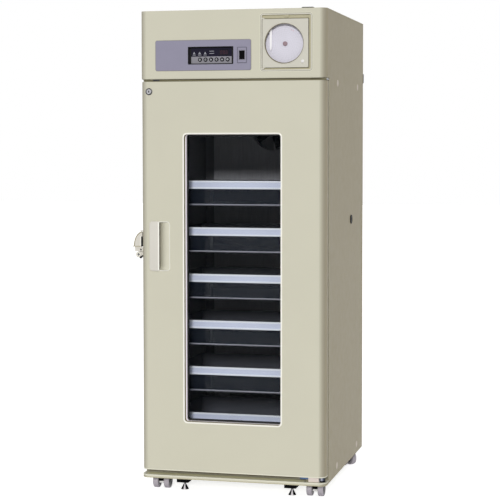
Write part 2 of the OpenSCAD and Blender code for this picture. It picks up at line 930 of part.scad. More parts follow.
module door_skin() color(paint) difference() {
    union() {
        difference() {
            door_body(0, door_back);
            door_body(sheet_t, door_back);
        }
        pad(0, win_mid, reveal_w, reveal_h, reveal_r, 0, reveal_d);
        hinge_tubes(hinge_tube_r, 0);
        rod_y(lock_sleeve_r, 0, lock_l, lock_x, lock_z);
        rod_y(lock_ring_r, -lock_out, 0, lock_x, lock_z);
    }
    pad(0, win_mid, win_w, win_h, win_r, -cut, reveal_d + cut);
    handle_seat(-cut, sheet_t + cut);
    hinge_bores();
    rod_y(lock_r + pin_play, -lock_out - cut, lock_l + cut, lock_x, lock_z);
}

// Room for the handle's pocket
module handle_seat(y0, y1) {
    pad(
        handle_x, handle_z, handle_body_w + fit_play, handle_body_h + fit_play, handle_body_r, y0, y1
    );
}

module hinge_bores() {
    rod_z(hinge_pin_r + pin_play, door_z0 - cut, door_z0 + hinge_tube_l + cut, hinge_x, hinge_y);
    rod_z(hinge_pin_r + pin_play, door_z1 - hinge_tube_l - cut, door_z1 + cut, hinge_x, hinge_y);
}

module door_foam() color(foam) difference() {
    door_body(sheet_t, door_back - sheet_t);
    pad(0, win_mid, reveal_w, reveal_h, reveal_r, 0, door_back + cut);
    handle_seat(0, handle_back);
    hinge_tubes(hinge_tube_r, cut);
    rod_y(lock_sleeve_r, 0, lock_l + 8, lock_x, lock_z);
}

module door_liner() color(white) {
    difference() {
        union() {
            block([-door_w / 2, door_back, door_z0], [door_w / 2, door_t, door_z1]);
            pad(0, win_mid, reveal_w, reveal_h, reveal_r, reveal_d, door_back);
        }
        pad(0, win_mid, win_w - 2 * bead_w, win_h - 2 * bead_w, sight_r, reveal_d - cut, door_t + cut);
        pad(0, win_mid, glass_w, glass_h, glass_r, pane_y, pane_y + pane_t);
        pad(0, win_mid, glass_w, glass_h, glass_r, inner_pane_y, door_back);
    }
}

module window_glass() color(clear) {
    for (y = [pane_y, inner_pane_y]) {
        pad(0, win_mid, glass_w - 2 * fit_play, glass_h - 2 * fit_play, glass_r - fit_play, y, y + pane_t);
    }
}

module door_gasket() color(grey) {
    frame(
        0, seal_mid, 2 * seal_x, seal_z1 - seal_z0, seal_r,
        2 * (seal_x - seal_w), seal_z1 - seal_z0 - 2 * seal_w, 2, door_t, door_t + seal_t
    );
}

module handle_insert() color(pale) difference() {
    union() {
        pad(handle_x, handle_z, handle_w, handle_h, handle_r, -handle_flange, 0);
        pad(handle_x, handle_z, handle_body_w, handle_body_h, handle_body_r, -handle_flange, handle_back);
        intersection() {
            pad(handle_x, handle_z, handle_w, handle_h, handle_r, -grip_out, 0);
            block(
                [handle_left, -grip_out, handle_z - handle_h / 2],
                [pocket_left, 0, handle_z + handle_h / 2]
            );
        }
    }
    pad(
        handle_x, handle_z, handle_body_w - 2 * handle_wall, handle_body_h - 2 * handle_wall,
        handle_body_r - handle_wall, 0, pocket_d
    );
    intersection() {
        pad(
            handle_x, handle_z, handle_body_w - 2 * handle_wall, handle_body_h - 2 * handle_wall,
            handle_body_r - handle_wall, -grip_out - cut, pocket_d
        );
        block(
            [pocket_left, -grip_out - cut, handle_z - handle_h / 2],
            [pocket_left + pocket_w, pocket_d, handle_z + handle_h / 2]
        );
    }
}

module door_lock() color(steel) difference() {
    rod_y(lock_r, lock_face, lock_l, lock_x, lock_z);
    block(
        [lock_x - key_w / 2, lock_face - cut, lock_z - key_h / 2],
        [lock_x + key_w / 2, lock_face + key_d, lock_z + key_h / 2]
    );
}

// Hasp on the door's closing side

module latch_base() color(pale) {
    block([hasp_x, hasp_y, hasp_z], [door_left, hasp_y + hasp_w, hasp_z + hasp_h]);
    for (y = [hasp_y, hasp_y + hasp_w - hasp_t]) {
        block([hasp_x - ear_out, y, lever_z - lever_boss_r], [door_left, y + hasp_t, lever_z + lever_boss_r]);
    }
    block(
        [hasp_x - hasp_cap_out, hasp_y, hasp_z + hasp_h - hasp_cap_t],
        [door_left, hasp_y + hasp_w, hasp_z + hasp_h]
    );
    rod_y(lever_pin_r, hasp_y, hasp_y + hasp_w, lever_x, lever_z);
    eye_plate(door_left, eye_y);
}

module latch_lever() color(pale) {
    y1 = lever_y + lever_w;
    difference() {
        union() {
            translate([hasp_x, 0, hood_z]) upright(lever_y, y1) hood_outline();
            block([-hasp_tip, lever_y, hood_z - fin_t], [lever_x, y1, hood_z]);
            block([lever_x - lever_boss_r, lever_y, lever_z], [lever_x - lever_boss_r + lever_t, y1, hood_z]);
            rod_y(lever_boss_r, lever_y, y1, lever_x, lever_z);
        }
        rod_y(lever_pin_r + pin_play, lever_y - cut, y1 + cut, lever_x, lever_z);
    }
}

// Side view of the lever's hood: a quarter of an ellipse, cut off at the gap
module hood_outline() {
    end = acos(hood_gap / hood_out);
    arc = [
        for (n = [0 : hood_steps])
            [-hood_out * cos(end * n / hood_steps), hood_top * sin(end * n / hood_steps)]
    ];
    polygon(concat([[-hood_gap, 0]], arc));
}

// Drawers

module drawer_runners() color(zinc) {
    for (n = [1 : drawer_count], side = [0, 1]) mirror([side, 0, 0]) difference() {
        z = drawer_top(n) - slide_drop;
        block(
            [chamber_x - channel_w, runner_start, z - slide_h / 2 - move_play - channel_t],
            [chamber_x, runner_end, z + slide_h / 2 + move_play + channel_t]
        );
        block(
            [chamber_x - channel_w - cut, runner_start - cut, z - slide_h / 2 - move_play],
            [chamber_x - channel_t, runner_end + cut, z + slide_h / 2 + move_play]
        );
    }
}

module drawer_tray(n) color(steel) {
    top = drawer_top(n);
    low = top - drawer_h;
    difference() {
        block([-drawer_x, drawer_y + rail_d, low], [drawer_x, drawer_back, top - tray_drop]);
        block(
            [-drawer_x + tray_t, drawer_y + rail_d - cut, low + tray_t],
            [drawer_x - tray_t, drawer_back - tray_t, top]
        );
    }
    block([-drawer_x, drawer_y + rail_edge, low], [drawer_x, drawer_y + rail_d + cut, low + tray_t]);
    block([-drawer_x, drawer_y + rail_edge, low], [drawer_x, drawer_y + rail_d - rail_edge, low + lip_h]);
    along_x(-drawer_x, drawer_x) {
        translate([drawer_y + rail_edge, top - rail_h]) square([rail_t, rail_h]);
        for (z = [top - rail_h, top - rail_t]) translate([drawer_y, z]) square([rail_d, rail_t]);
    }
    for (side = [0, 1]) mirror([side, 0, 0]) {
        block(
            [drawer_x - tray_t, drawer_y + rail_d - cut, low],
            [drawer_x, drawer_y + rail_d + cut, top - tray_drop]
        );
        block(
            [drawer_x - tray_t, slide_start, top - slide_drop - slide_h / 2],
            [chamber_x - channel_t - slide_play, drawer_back, top - slide_drop + slide_h / 2]
        );
    }
}

module drawer_pane(n) color(clear) {
    top = drawer_top(n);
    block(
        [-drawer_x + tray_t, drawer_y + 2 * rail_edge, top - drawer_h + lip_h],
        [drawer_x - tray_t, drawer_y + 2 * rail_edge + drawer_pane_t, top - rail_h]
    );
}

// Fans: a ring with its motor on three spokes, axis along y, ring mouth on y = 0

module fan_ring() {
    motor_y = fan_l - motor_l;
    difference() {
        rod_y(fan_r + fan_wall, 0, fan_l, 0, 0);
        rod_y(fan_r, -cut, fan_l + cut, 0, 0);
    }
    difference() {
        union() {
            rod_y(motor_r, motor_y, fan_l, 0, 0);
            for (turn = [90, 210, 330]) rotate([0, turn, 0]) {
                block([motor_r - 4, fan_l - spoke_t, -spoke_w / 2], [fan_r + 1, fan_l, spoke_w / 2]);
            }
        }
        rod_y(shaft_r + pin_play, motor_y - cut, fan_l - 4, 0, 0);
    }
}

module fan_wheel() {
    motor_y = fan_l - motor_l;
    hub_y = motor_y - 2 - hub_l;
    rod_y(hub_r, hub_y, hub_y + hub_l, 0, 0);
    rod_y(shaft_r, hub_y, fan_l - 5, 0, 0);
    for (n = [0 : blade_count - 1]) rotate([0, n * 360 / blade_count, 0]) {
        translate([hub_r - 5, hub_y + hub_l / 2, 0]) rotate([blade_pitch, 0, 0])
            translate([0, -blade_t / 2, -blade_w / 2]) cube([fan_r - blade_tip - hub_r, blade_t, blade_w]);
    }
}

module air_duct() color(steel) {
    difference() {
        block([-duct_x, duct_y, duct_z0], [duct_x, chamber_y, duct_z1]);
        block(
            [-duct_x + duct_t, duct_y + duct_t, duct_z0 + duct_t],
            [duct_x - duct_t, chamber_y + cut, duct_z1 - duct_t]
        );
        rod_y(fan_r + 1, duct_y - cut, duct_y + duct_t + cut, 0, duct_fan_z);
        for (n = [1 : duct_slots]) {
            block(
                [-duct_slot_w / 2, duct_y - cut, duct_z0 + n * duct_slot_pitch],
                [duct_slot_w / 2, duct_y + duct_t + cut, duct_z0 + n * duct_slot_pitch + duct_slot_h]
            );
        }
    }
    translate([0, duct_y, duct_fan_z]) fan_ring();
}

module evaporator_fan() color(black) {
    translate([0, duct_y, duct_fan_z]) fan_wheel();
}

// Finned block with open gaps between its fins, front face on y0
module finned_block(x, y0, z, w, h, d) {
    pitch = w / (fin_slots + 1);
    difference() {
        block([x - w / 2, y0, z], [x + w / 2, y0 + d, z + h]);
        for (n = [1 : fin_slots]) {
            block(
                [x - w / 2 + n * pitch - fin_gap / 2, y0 - cut, z + fin_header],
                [x - w / 2 + n * pitch + fin_gap / 2, y0 + d + cut, z + h - fin_header]
            );
        }
    }
}

module evaporator_coil() color(zinc) {
    finned_block(0, chamber_y - coil_d, coil_z, coil_w, coil_h, coil_d);
}

// Machine bay

module compressor() color(black) {
    plate_z0 = bay_z + comp_foot;
    shell_z = plate_z0 + comp_plate_t;
    for (sx = [-1, 1], sy = [-1, 1]) {
        rod_z(
            comp_foot_r, bay_z, plate_z0 + cut,
            comp_x + sx * (comp_plate_w / 2 - comp_foot_in), comp_y + sy * (comp_plate_d / 2 - comp_foot_in)
        );
    }
    block(
        [comp_x - comp_plate_w / 2, comp_y - comp_plate_d / 2, plate_z0],
        [comp_x + comp_plate_w / 2, comp_y + comp_plate_d / 2, shell_z]
    );
    translate([comp_x, comp_y, shell_z - cut]) rotate_extrude() polygon([
        [0, 0], [comp_base_r, 0], [comp_r, comp_base], [comp_r, comp_h - comp_shoulder],
        [comp_dome_r, comp_h - comp_dome], [0, comp_h]
    ]);
}

module condenser() color(zinc) {
    low = bay_z + cond_leg;
    mid = low + cond_h / 2;
    finned_block(cond_x, cond_y, low, cond_w, cond_h, cond_d);
    for (side = [-1, 1]) {
        block(
            [cond_x + side * (cond_w / 2 - cond_leg_in) - cond_leg_w / 2, cond_y, bay_z],
            [cond_x + side * (cond_w / 2 - cond_leg_in) + cond_leg_w / 2, cond_y + cond_d, low + cut]
        );
    }
    difference() {
        block(
            [cond_x - cond_w / 2, cond_y - cond_plate_t, low],
            [cond_x + cond_w / 2, cond_y, low + cond_h]
        );
        rod_y(fan_r + 1, cond_y - cond_plate_t - cut, cond_y, cond_x, mid);
    }
    translate([cond_x, cond_y, mid]) mirror([0, 1, 0]) fan_ring();
}

module condenser_fan() color(black) {
    translate([cond_x, cond_y, bay_z + cond_leg + cond_h / 2]) mirror([0, 1, 0]) fan_wheel();
}

module rear_cover() color(zinc) difference() {
    union() {
        block(
            [-rear_w / 2 - rear_lap, back_y, rear_z - rear_lap],
            [rear_w / 2 + rear_lap, cab_d, rear_z + rear_h + rear_lap]
        );
        cord_gland();
    }
    for (side = [-1, 1], n = [1 : louvre_rows]) {
        block(
            [side * rear_w / 4 - louvre_w / 2, back_y - cut, rear_z + n * louvre_pitch],
            [side * rear_w / 4 + louvre_w / 2, cab_d + cut, rear_z + n * louvre_pitch + louvre_h]
        );
    }
}

// Closed gland where the mains lead comes out: a six-sided nut under a round neck
module cord_gland() {
    translate([gland_x, cab_d + gland_nut_t, gland_z]) rotate([90, 0, 0])
        cylinder(r = gland_r * 2 / sqrt(3), h = gland_nut_t + cut, $fn = 6);
    rod_y(gland_r - 2, cab_d, cab_d + gland_l, gland_x, gland_z);
}

// Plugs, caps and spacers

module body_plugs() {
    color(grey) for (side = [0, 1], y = [plug_front_y, plug_back_y], z = [plug_low_z, plug_top_z]) {
        mirror([side, 0, 0]) {
            rod_x(plug_r, cab_w / 2, cab_w / 2 + plug_t, y, z);
            rod_x(plug_shank_r, case_in, cab_w / 2 + 0.5, y, z);
        }
    }
    color(black) {
        rod_x(port_r, cab_w / 2, cab_w / 2 + port_t, port_y, port_z);
        block(
            [cap_x - cap_w / 2, cap_y - cap_d / 2, cab_h],
            [cap_x + cap_w / 2, cap_y + cap_d / 2, cab_h + cap_h]
        );
        for (side = [-1, 1]) {
            block(
                [side * spacer_x - spacer_w / 2, back_y, spacer_z - spacer_h / 2],
                [side * spacer_x + spacer_w / 2, cab_d + spacer_out, spacer_z + spacer_h / 2]
            );
        }
    }
}

// Casters and levelling feet

module mount_plates() color(black) {
    plate_z0 = base_top - base_t - plate_t;
    for (x = [-caster_x, caster_x], y = [caster_front, caster_rear_y]) {
        block(
            [x - plate_side / 2, y - plate_side / 2, plate_z0],
            [x + plate_side / 2, y + plate_side / 2, plate_z0 + plate_t]
        );
        rod_z(king_r, base_z + 1, plate_z0 + 1, x, y);
    }
    for (x = [-foot_x, foot_x]) difference() {
        translate([x, foot_y - bracket_d / 2, 0]) upright(0, bracket_d) polygon([
            [-bracket_w / 2, bracket_z],
            [bracket_w / 2 - bracket_chamfer, bracket_z],
            [bracket_w / 2, bracket_z + bracket_chamfer],
            [bracket_w / 2, base_top - base_t],
            [-bracket_w / 2, base_top - base_t]
        ]);
        rod_z(stud_r + pin_play, bracket_z - cut, base_top, x, foot_y);
    }
}

module caster_fork(x, y, turn) color(zinc) translate([x, y, 0]) rotate([0, 0, turn]) difference() {
    union() {
        rod_z(fork_disc_r, fork_top - fork_disc_h, fork_top, 0, 0);
        block(
            [-stem_w / 2, -trail - stem_low, axle_z - stem_low],
            [stem_w / 2, stem_d / 2 - 2, fork_top - 1]
        );
    }
    rod_z(king_r + pin_play, base_z, fork_top + cut, 0, 0);
    rod_x(axle_r + pin_play, -stem_w, stem_w, -trail, axle_z);
}

module caster_wheels(x, y, turn) color(grey) translate([x, y, 0]) rotate([0, 0, turn]) {
    for (side = [0, 1]) mirror([side, 0, 0]) {
        rod_x(wheel_d / 2, wheel_gap / 2, wheel_gap / 2 + wheel_w, -trail, axle_z);
    }
    rod_x(axle_r, -wheel_gap / 2 - 2, wheel_gap / 2 + 2, -trail, axle_z);
}

module levelling_foot(x) color(zinc) translate([x, foot_y, 0]) {
    cylinder(r = foot_r, h = foot_disc_h);
    translate([0, 0, foot_disc_h]) cylinder(r1 = foot_r - 2, r2 = foot_neck_r, h = foot_cone_h);
    cylinder(r = stud_r, h = stud_top);
}

place() outer_case();
place() inner_liner();
place() insulation_foam();
place() base_frame();
place() head_panel();
place() control_plate();
place() display_module();
place() recorder_housing();
place() hinge_brackets();
place() drawer_runners();
place() air_duct();
place() evaporator_coil();
place() compressor();
place() condenser();
place() rear_cover();
place() body_plugs();
place() mount_plates();
place() door_skin();
place() door_foam();
place() door_liner();
place() window_glass();
place() door_gasket();
place() handle_insert();
place() latch_base();
place() door_lock();
place() latch_lever();
place() rocker_switch();
place() recorder_door();
place() chart_disc();
place() pen_arm();
place() evaporator_fan();
place() condenser_fan();
place() levelling_foot(-foot_x);  // foot_left
place() levelling_foot(foot_x);  // foot_right
place() caster_fork(-caster_x, caster_front, 0);  // fork_front_left
place() caster_fork(caster_x, caster_front, 0);  // fork_front_right
place() caster_fork(-caster_x, caster_rear_y, rear_turn);  // fork_rear_left
place() caster_fork(caster_x, caster_rear_y, rear_turn);  // fork_rear_right
place() caster_wheels(-caster_x, caster_front, 0);  // wheels_front_left
place() caster_wheels(caster_x, caster_front, 0);  // wheels_front_right
place() caster_wheels(-caster_x, caster_rear_y, rear_turn);  // wheels_rear_left
place() caster_wheels(caster_x, caster_rear_y, rear_turn);  // wheels_rear_right
for (n = [1 : 6]) {
    place() button(n);
}
for (n = [1 : drawer_count]) {
    place() drawer_tray(n);
    place() drawer_pane(n);
}
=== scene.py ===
"""Looks of an upright blood storage refrigerator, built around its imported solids.

Lengths are millimetres in the cabinet's drawing frame: x = 0 on the cabinet's middle,
y = 0 on the head panel's front and z = 0 on the floor.
"""
import math

import bmesh
import bpy
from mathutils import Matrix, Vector


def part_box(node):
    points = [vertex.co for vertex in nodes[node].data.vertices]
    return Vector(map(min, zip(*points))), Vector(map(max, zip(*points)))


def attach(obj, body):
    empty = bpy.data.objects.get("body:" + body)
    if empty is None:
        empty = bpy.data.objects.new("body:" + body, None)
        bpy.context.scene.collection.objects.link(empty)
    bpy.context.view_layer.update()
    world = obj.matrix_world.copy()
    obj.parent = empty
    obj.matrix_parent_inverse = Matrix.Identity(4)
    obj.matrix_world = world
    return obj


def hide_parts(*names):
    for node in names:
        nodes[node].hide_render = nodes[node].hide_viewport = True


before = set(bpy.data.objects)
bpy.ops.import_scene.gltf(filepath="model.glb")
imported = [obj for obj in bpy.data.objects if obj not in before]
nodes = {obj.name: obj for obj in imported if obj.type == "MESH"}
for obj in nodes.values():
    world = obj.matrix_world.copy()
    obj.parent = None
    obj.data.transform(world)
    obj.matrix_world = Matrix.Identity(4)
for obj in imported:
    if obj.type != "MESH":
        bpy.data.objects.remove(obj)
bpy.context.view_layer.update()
scene = bpy.context.scene

MM = 0.001
panel_low, panel_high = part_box("head_panel")
SHIFT = Vector(((panel_low.x + panel_high.x) / 2, panel_low.y, 0))


def at(x, y, z):
    """Place in the row frame, in metres, of a point of the drawing frame."""
    return SHIFT + Vector((x, y, z)) * MM


def corners(node):
    """Lowest and highest corner of a solid in the drawing frame."""
    low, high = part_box(node)
    return (low - SHIFT) / MM, (high - SHIFT) / MM


def centre_of(node):
    """Middle of a solid's box in the drawing frame."""
    low, high = corners(node)
    return (low + high) / 2


def placed(name, data):
    """New object in the scene."""
    made = bpy.data.objects.new(name, data)
    scene.collection.objects.link(made)
    return made


# Sizes that several pieces share

DOOR_LOW = corners("door_liner")[0]
CASE_HIGH = corners("outer_case")[1]
PLATE_LOW, PLATE_HIGH = corners("control_plate")
GLASS_LOW, GLASS_HIGH = corners("window_glass")
GLASS_EDGE = 0.8
WINDOW_W = GLASS_HIGH.x - GLASS_LOW.x + 2 * GLASS_EDGE
WINDOW_H = GLASS_HIGH.z - GLASS_LOW.z + 2 * GLASS_EDGE
WINDOW_Z = (GLASS_LOW.z + GLASS_HIGH.z) / 2
WINDOW_R = 12
WINDOW = (0, WINDOW_Z, WINDOW_W, WINDOW_H, WINDOW_R)
REVEAL_D = 30
HASP_X = DOOR_LOW.x - 2.5
HOOD_GAP = 4
HOOD_TOP = 59
HOOD_Z = 1010
CONTROLS_Z = 1781.5
POCKET = (223, 1830, 209, 226, 11)
CASTERS = ("front_left", "front_right", "rear_left", "rear_right")
DRAWERS = range(1, 7)
KEYS = range(1, 7)

# Materials


def tone(red, green, blue):
    """Linear colour of a display colour given from 0 to 255."""
    def linear(value):
        share = value / 255
        return share / 12.92 if share <= 0.04045 else ((share + 0.055) / 1.055) ** 2.4
    return (linear(red), linear(green), linear(blue), 1.0)


def scaled(colour, factor):
    """Colour made lighter or darker."""
    return tuple(min(1.0, part * factor) for part in colour[:3]) + (1.0,)


class Finish:
    """Procedural material on a Principled shader, with its node tree at hand."""

    def __init__(self, name, slot):
        self.material = bpy.data.materials.new(name)
        self.material.use_nodes = True
        self.material["slot"] = slot
        self.tree = self.material.node_tree
        self.shader = self.tree.nodes["Principled BSDF"]
        coordinates = self.node("ShaderNodeTexCoord")
        self.place = coordinates.outputs["Object"]
        self.direction = coordinates.outputs["Normal"]

    def node(self, kind, **values):
        """New node with its properties or unlinked inputs set."""
        made = self.tree.nodes.new(kind)
        for key, value in values.items():
            if hasattr(made, key):
                setattr(made, key, value)
            else:
                made.inputs[key.replace("_", " ").title()].default_value = value
        return made

    def link(self, source, target):
        self.tree.links.new(source, target)

    def math(self, operation, *values):
        """Result of a sum on sockets or numbers."""
        made = self.node("ShaderNodeMath", operation=operation)
        for socket, value in zip(made.inputs, values):
            if isinstance(value, (int, float)):
                socket.default_value = value
            else:
                self.link(value, socket)
        return made.outputs[0]

    def noise(self, size, stretch=(1, 1, 1), detail=3.0):
        """Noise whose features are about size millimetres across."""
        spread = self.node("ShaderNodeMapping")
        spread.inputs["Scale"].default_value = stretch
        self.link(self.place, spread.inputs["Vector"])
        made = self.node("ShaderNodeTexNoise", scale=1000.0 / size, detail=detail)
        self.link(spread.outputs[0], made.inputs["Vector"])
        return made.outputs["Fac"]

    def remap(self, value, low, high, spread=0.25):
        """Middle of a noise stretched to run from low to high."""
        made = self.node("ShaderNodeMapRange")
        for key, number in zip(("From Min", "From Max", "To Min", "To Max"),
                               (0.5 - spread, 0.5 + spread, low, high)):
            made.inputs[key].default_value = number
        self.link(value, made.inputs["Value"])
        return made.outputs[0]

    def mix(self, factor, first, second):
        """Blend of two colours or colour sockets."""
        made = self.node("ShaderNodeMix", data_type="RGBA")
        self.link(factor, made.inputs["Factor"])
        for socket, value in ((made.inputs[6], first), (made.inputs[7], second)):
            if isinstance(value, tuple):
                socket.default_value = value
            else:
                self.link(value, socket)
        return made.outputs[2]

    def set(self, **values):
        for key, value in values.items():
            self.shader.inputs[key.replace("_", " ")].default_value = value

    def surface(self, colour, rough, mottle=0.04, mottle_size=60, rough_shift=0.06,
                grain=0.0, grain_size=1.5, stretch=(1, 1, 1)):
        """Colour, gloss and fine relief that vary a little over the surface."""
        blotch = self.noise(mottle_size, stretch)
        dark = scaled(colour, 1 - mottle)
        light = scaled(colour, 1 + mottle)
        self.colour = self.mix(self.remap(blotch, 0, 1), dark, light)
        self.link(self.colour, self.shader.inputs["Base Color"])
        speck = self.noise(mottle_size / 7, stretch)
        gloss = self.remap(speck, rough - rough_shift, rough + rough_shift)
        self.link(gloss, self.shader.inputs["Roughness"])
        if grain:
            bump = self.node("ShaderNodeBump", strength=grain, distance=0.0006)
            self.link(self.noise(grain_size, stretch, 1.0), bump.inputs["Height"])
            self.link(bump.outputs[0], self.shader.inputs["Normal"])
        return self


def plain(name, slot, colour, rough, specular=0.35, **look):
    """Finish without metal or clearness."""
    made = Finish(name, slot).surface(tone(*colour), rough, **look)
    made.set(Specular_IOR_Level=specular)
    return made.material


def metal(name, slot, colour, rough, stretch=(1, 1, 1), metallic=1.0, **look):
    """Metal with streaks along one direction."""
    made = Finish(name, slot).surface(tone(*colour), rough, stretch=stretch, **look)
    made.set(Metallic=metallic)
    return made.material


def clear(name, slot, colour, alpha, rough=0.04):
    """Pane that lets most of the light through."""
    made = Finish(name, slot).surface(tone(*colour), rough, mottle=0.1, mottle_size=200, rough_shift=0.02)
    made.set(Alpha=alpha, IOR=1.45)
    return made.material


def painted_turn_light(name, slot, shades, rough=0.5, specular=0.2):
    """Finish with painted light and shade: its colour turns lighter or darker with how far a face turns,
    where -1 is the left side, 0 the front and 1 the right side.
    """
    made = Finish(name, slot).surface((0.985, 0.985, 0.985, 1.0), rough, mottle=0.015, mottle_size=240,
                                      grain=0.12, grain_size=2.2)
    made.set(Specular_IOR_Level=specular)
    split = made.node("ShaderNodeSeparateXYZ")
    made.link(made.direction, split.inputs[0])
    ramp = made.node("ShaderNodeValToRGB")
    stops = ramp.color_ramp.elements
    stops[0].color = tone(*shades[0][1:])
    stops[1].color = tone(*shades[-1][1:])
    for turn, *colour in shades[1:-1]:
        stops.new((turn + 1) / 2).color = tone(*colour)
    made.link(made.math("MULTIPLY_ADD", split.outputs["X"], 0.5, 0.5), ramp.inputs[0])
    product = made.node("ShaderNodeMix", data_type="RGBA", blend_type="MULTIPLY")
    product.inputs[0].default_value = 1.0
    made.link(made.colour, product.inputs[6])
    made.link(ramp.outputs[0], product.inputs[7])
    made.link(product.outputs[2], made.shader.inputs["Base Color"])
    return made.material


def chart_paper(name, slot, centre):
    """Paper disc with fine rings, curved hour lines and two short red marks."""
    ring_step = 0.008
    hour_lines = 28.0
    mark_radius = 0.060
    made = Finish(name, slot).surface(tone(222, 219, 230), 0.8, mottle=0.02, mottle_size=40)
    calc = made.math
    offset = made.node("ShaderNodeVectorMath", operation="SUBTRACT")
    made.link(made.place, offset.inputs[0])
    offset.inputs[1].default_value = centre
    split = made.node("ShaderNodeSeparateXYZ")
    made.link(offset.outputs[0], split.inputs[0])
    across, up = split.outputs["X"], split.outputs["Z"]
    radius = calc("SQRT", calc("ADD", calc("MULTIPLY", across, across), calc("MULTIPLY", up, up)))
    turn = calc("DIVIDE", calc("ARCTAN2", up, across), 2 * math.pi)
    rings = calc("LESS_THAN", calc("FRACT", calc("MULTIPLY", radius, 1 / ring_step)), 0.07)
    bent = calc("MULTIPLY", calc("ADD", turn, calc("MULTIPLY", radius, 1.2)), hour_lines)
    hours = calc("LESS_THAN", calc("FRACT", calc("ADD", bent, hour_lines)), 0.05)
    lines = calc("MULTIPLY", calc("MAXIMUM", rings, hours), 0.35)
    printed = made.mix(lines, made.colour, tone(150, 165, 160))
    ring_mark = calc("LESS_THAN", calc("ABSOLUTE", calc("SUBTRACT", radius, mark_radius)), 0.0011)
    aside = calc("ABSOLUTE", calc("SUBTRACT", turn, 0.169))
    two_marks = calc("MULTIPLY", calc("GREATER_THAN", aside, 0.005), calc("LESS_THAN", aside, 0.017))
    marks = calc("MULTIPLY", calc("MULTIPLY", ring_mark, two_marks), 0.7)
    made.link(made.mix(marks, printed, tone(206, 128, 136)), made.shader.inputs["Base Color"])
    return made.material


# Cream paint with painted shade: the ramp darkens the rounded edges and the faces turned to the sides, as
# light would.
paint = painted_turn_light("cream_paint", "cream_paint", [
    (-1, 186, 177, 150), (-0.84, 172, 166, 147), (-0.6, 189, 185, 167), (-0.3, 198, 195, 177),
    (-0.14, 205, 202, 183), (0, 209, 206, 187), (0.12, 198, 195, 176), (0.3, 185, 181, 162),
    (0.6, 167, 161, 143), (0.82, 162, 155, 136), (1, 178, 168, 141),
])
# Painted highlight: near-white for the window's rolled lip, the grip's edge, the hasp eye's rim and the
# hood's inner rim.
highlight_paint = plain("highlight_paint", "cream_paint", (250, 248, 238), 0.4, 0.3, mottle=0.015, grain=0.1)
# Painted highlight lines along the door's bottom edge, the base lip's top and beside the recorder's pocket.
highlight_line_paint = plain("highlight_line_paint", "cream_paint", (226, 224, 206), 0.45, 0.3, mottle=0.015, grain=0.1)
# Painted shade: dark olive for gaps, recesses and shadow lines.
shade_paint = plain("shade_paint", "cream_paint", (126, 121, 97), 0.6, 0.15, mottle=0.03)
# Deeper tan for the recorder's catch and ledge, also used as painted shade on the base lip's under-edge.
tan_paint = plain("tan_paint", "cream_paint", (186, 180, 152), 0.55, 0.15, mottle=0.02)
# Painted shade: the cabinet's front flange, darker than the cream, where it shows in the door's gaps.
flange_shade_paint = plain("flange_shade_paint", "cream_paint", (138, 131, 111), 0.6, 0.1, mottle=0.02)
# Painted light: a paler strip on the base's top under the door, which lies in the door's shade.
base_light_paint = plain("base_light_paint", "cream_paint", (228, 224, 190), 0.6, 0.1, mottle=0.02)
# Painted shade on the outer half of the window's reveal.
reveal_shade_paint = plain("reveal_shade_paint", "cream_paint", (166, 156, 114), 0.6, 0.1, mottle=0.02)
seam_paint = plain("seam_paint", "cream_paint", (180, 171, 146), 0.6, 0.1)
# Plain grey in place of the chamber's stainless steel, kept dark as painted shade for the unlit chamber.
lining = plain("chamber_lining", "chamber_lining", (150, 151, 156), 0.6, 0.12, mottle=0.12,
               stretch=(1, 1, 14))
duct_grey = plain("duct_grey", "chamber_lining", (196, 197, 203), 0.6, 0.12, mottle=0.1,
                  stretch=(14, 1, 1))
foam = plain("foam", "foam", (226, 212, 160), 0.9, mottle=0.06, mottle_size=8, grain=0.5, grain_size=2)
foil = plain("control_foil", "control_foil", (141, 138, 157), 0.45, mottle=0.02, grain=0.08,
             grain_size=0.8)
face_grey = plain("face_grey", "control_foil", (136, 134, 141), 0.5, mottle=0.03, grain=0.06,
                  grain_size=0.7)
black = plain("black_plastic", "black_plastic", (19, 19, 21), 0.5, 0.15, mottle=0.1, grain=0.15,
              grain_size=0.8)
gloss_black = plain("gloss_black", "black_plastic", (26, 23, 40), 0.3, 0.1, mottle=0.05)
rocker_black = plain("rocker_black", "black_plastic", (10, 10, 12), 0.5, 0.03, mottle=0.05)
readout_red = plain("readout_red", "black_plastic", (78, 30, 30), 0.4)
plug_grey = plain("plug_grey", "black_plastic", (214, 203, 192), 0.5)
pale = plain("pale_plastic", "pale_plastic", (206, 203, 190), 0.45, mottle=0.02, grain=0.1,
             grain_size=1.2)
white = plain("white_plastic", "pale_plastic", (232, 230, 228), 0.42, mottle=0.02, grain=0.08,
              grain_size=1.0)
pen_white = plain("pen_white", "pale_plastic", (253, 251, 253), 0.5, 0.2, mottle=0.01)
# Painted shade: the dark crescent on the left and lower edge of the chart's window.
window_edge_shade = plain("window_edge_shade", "pale_plastic", (104, 95, 72), 0.5, mottle=0.03)
hub_plastic = plain("hub_plastic", "chart_paper", (150, 128, 134), 0.45)
zinc = metal("zinc_steel", "zinc_steel", (186, 188, 194), 0.42, stretch=(1, 8, 1), mottle=0.08,
             metallic=0.85)
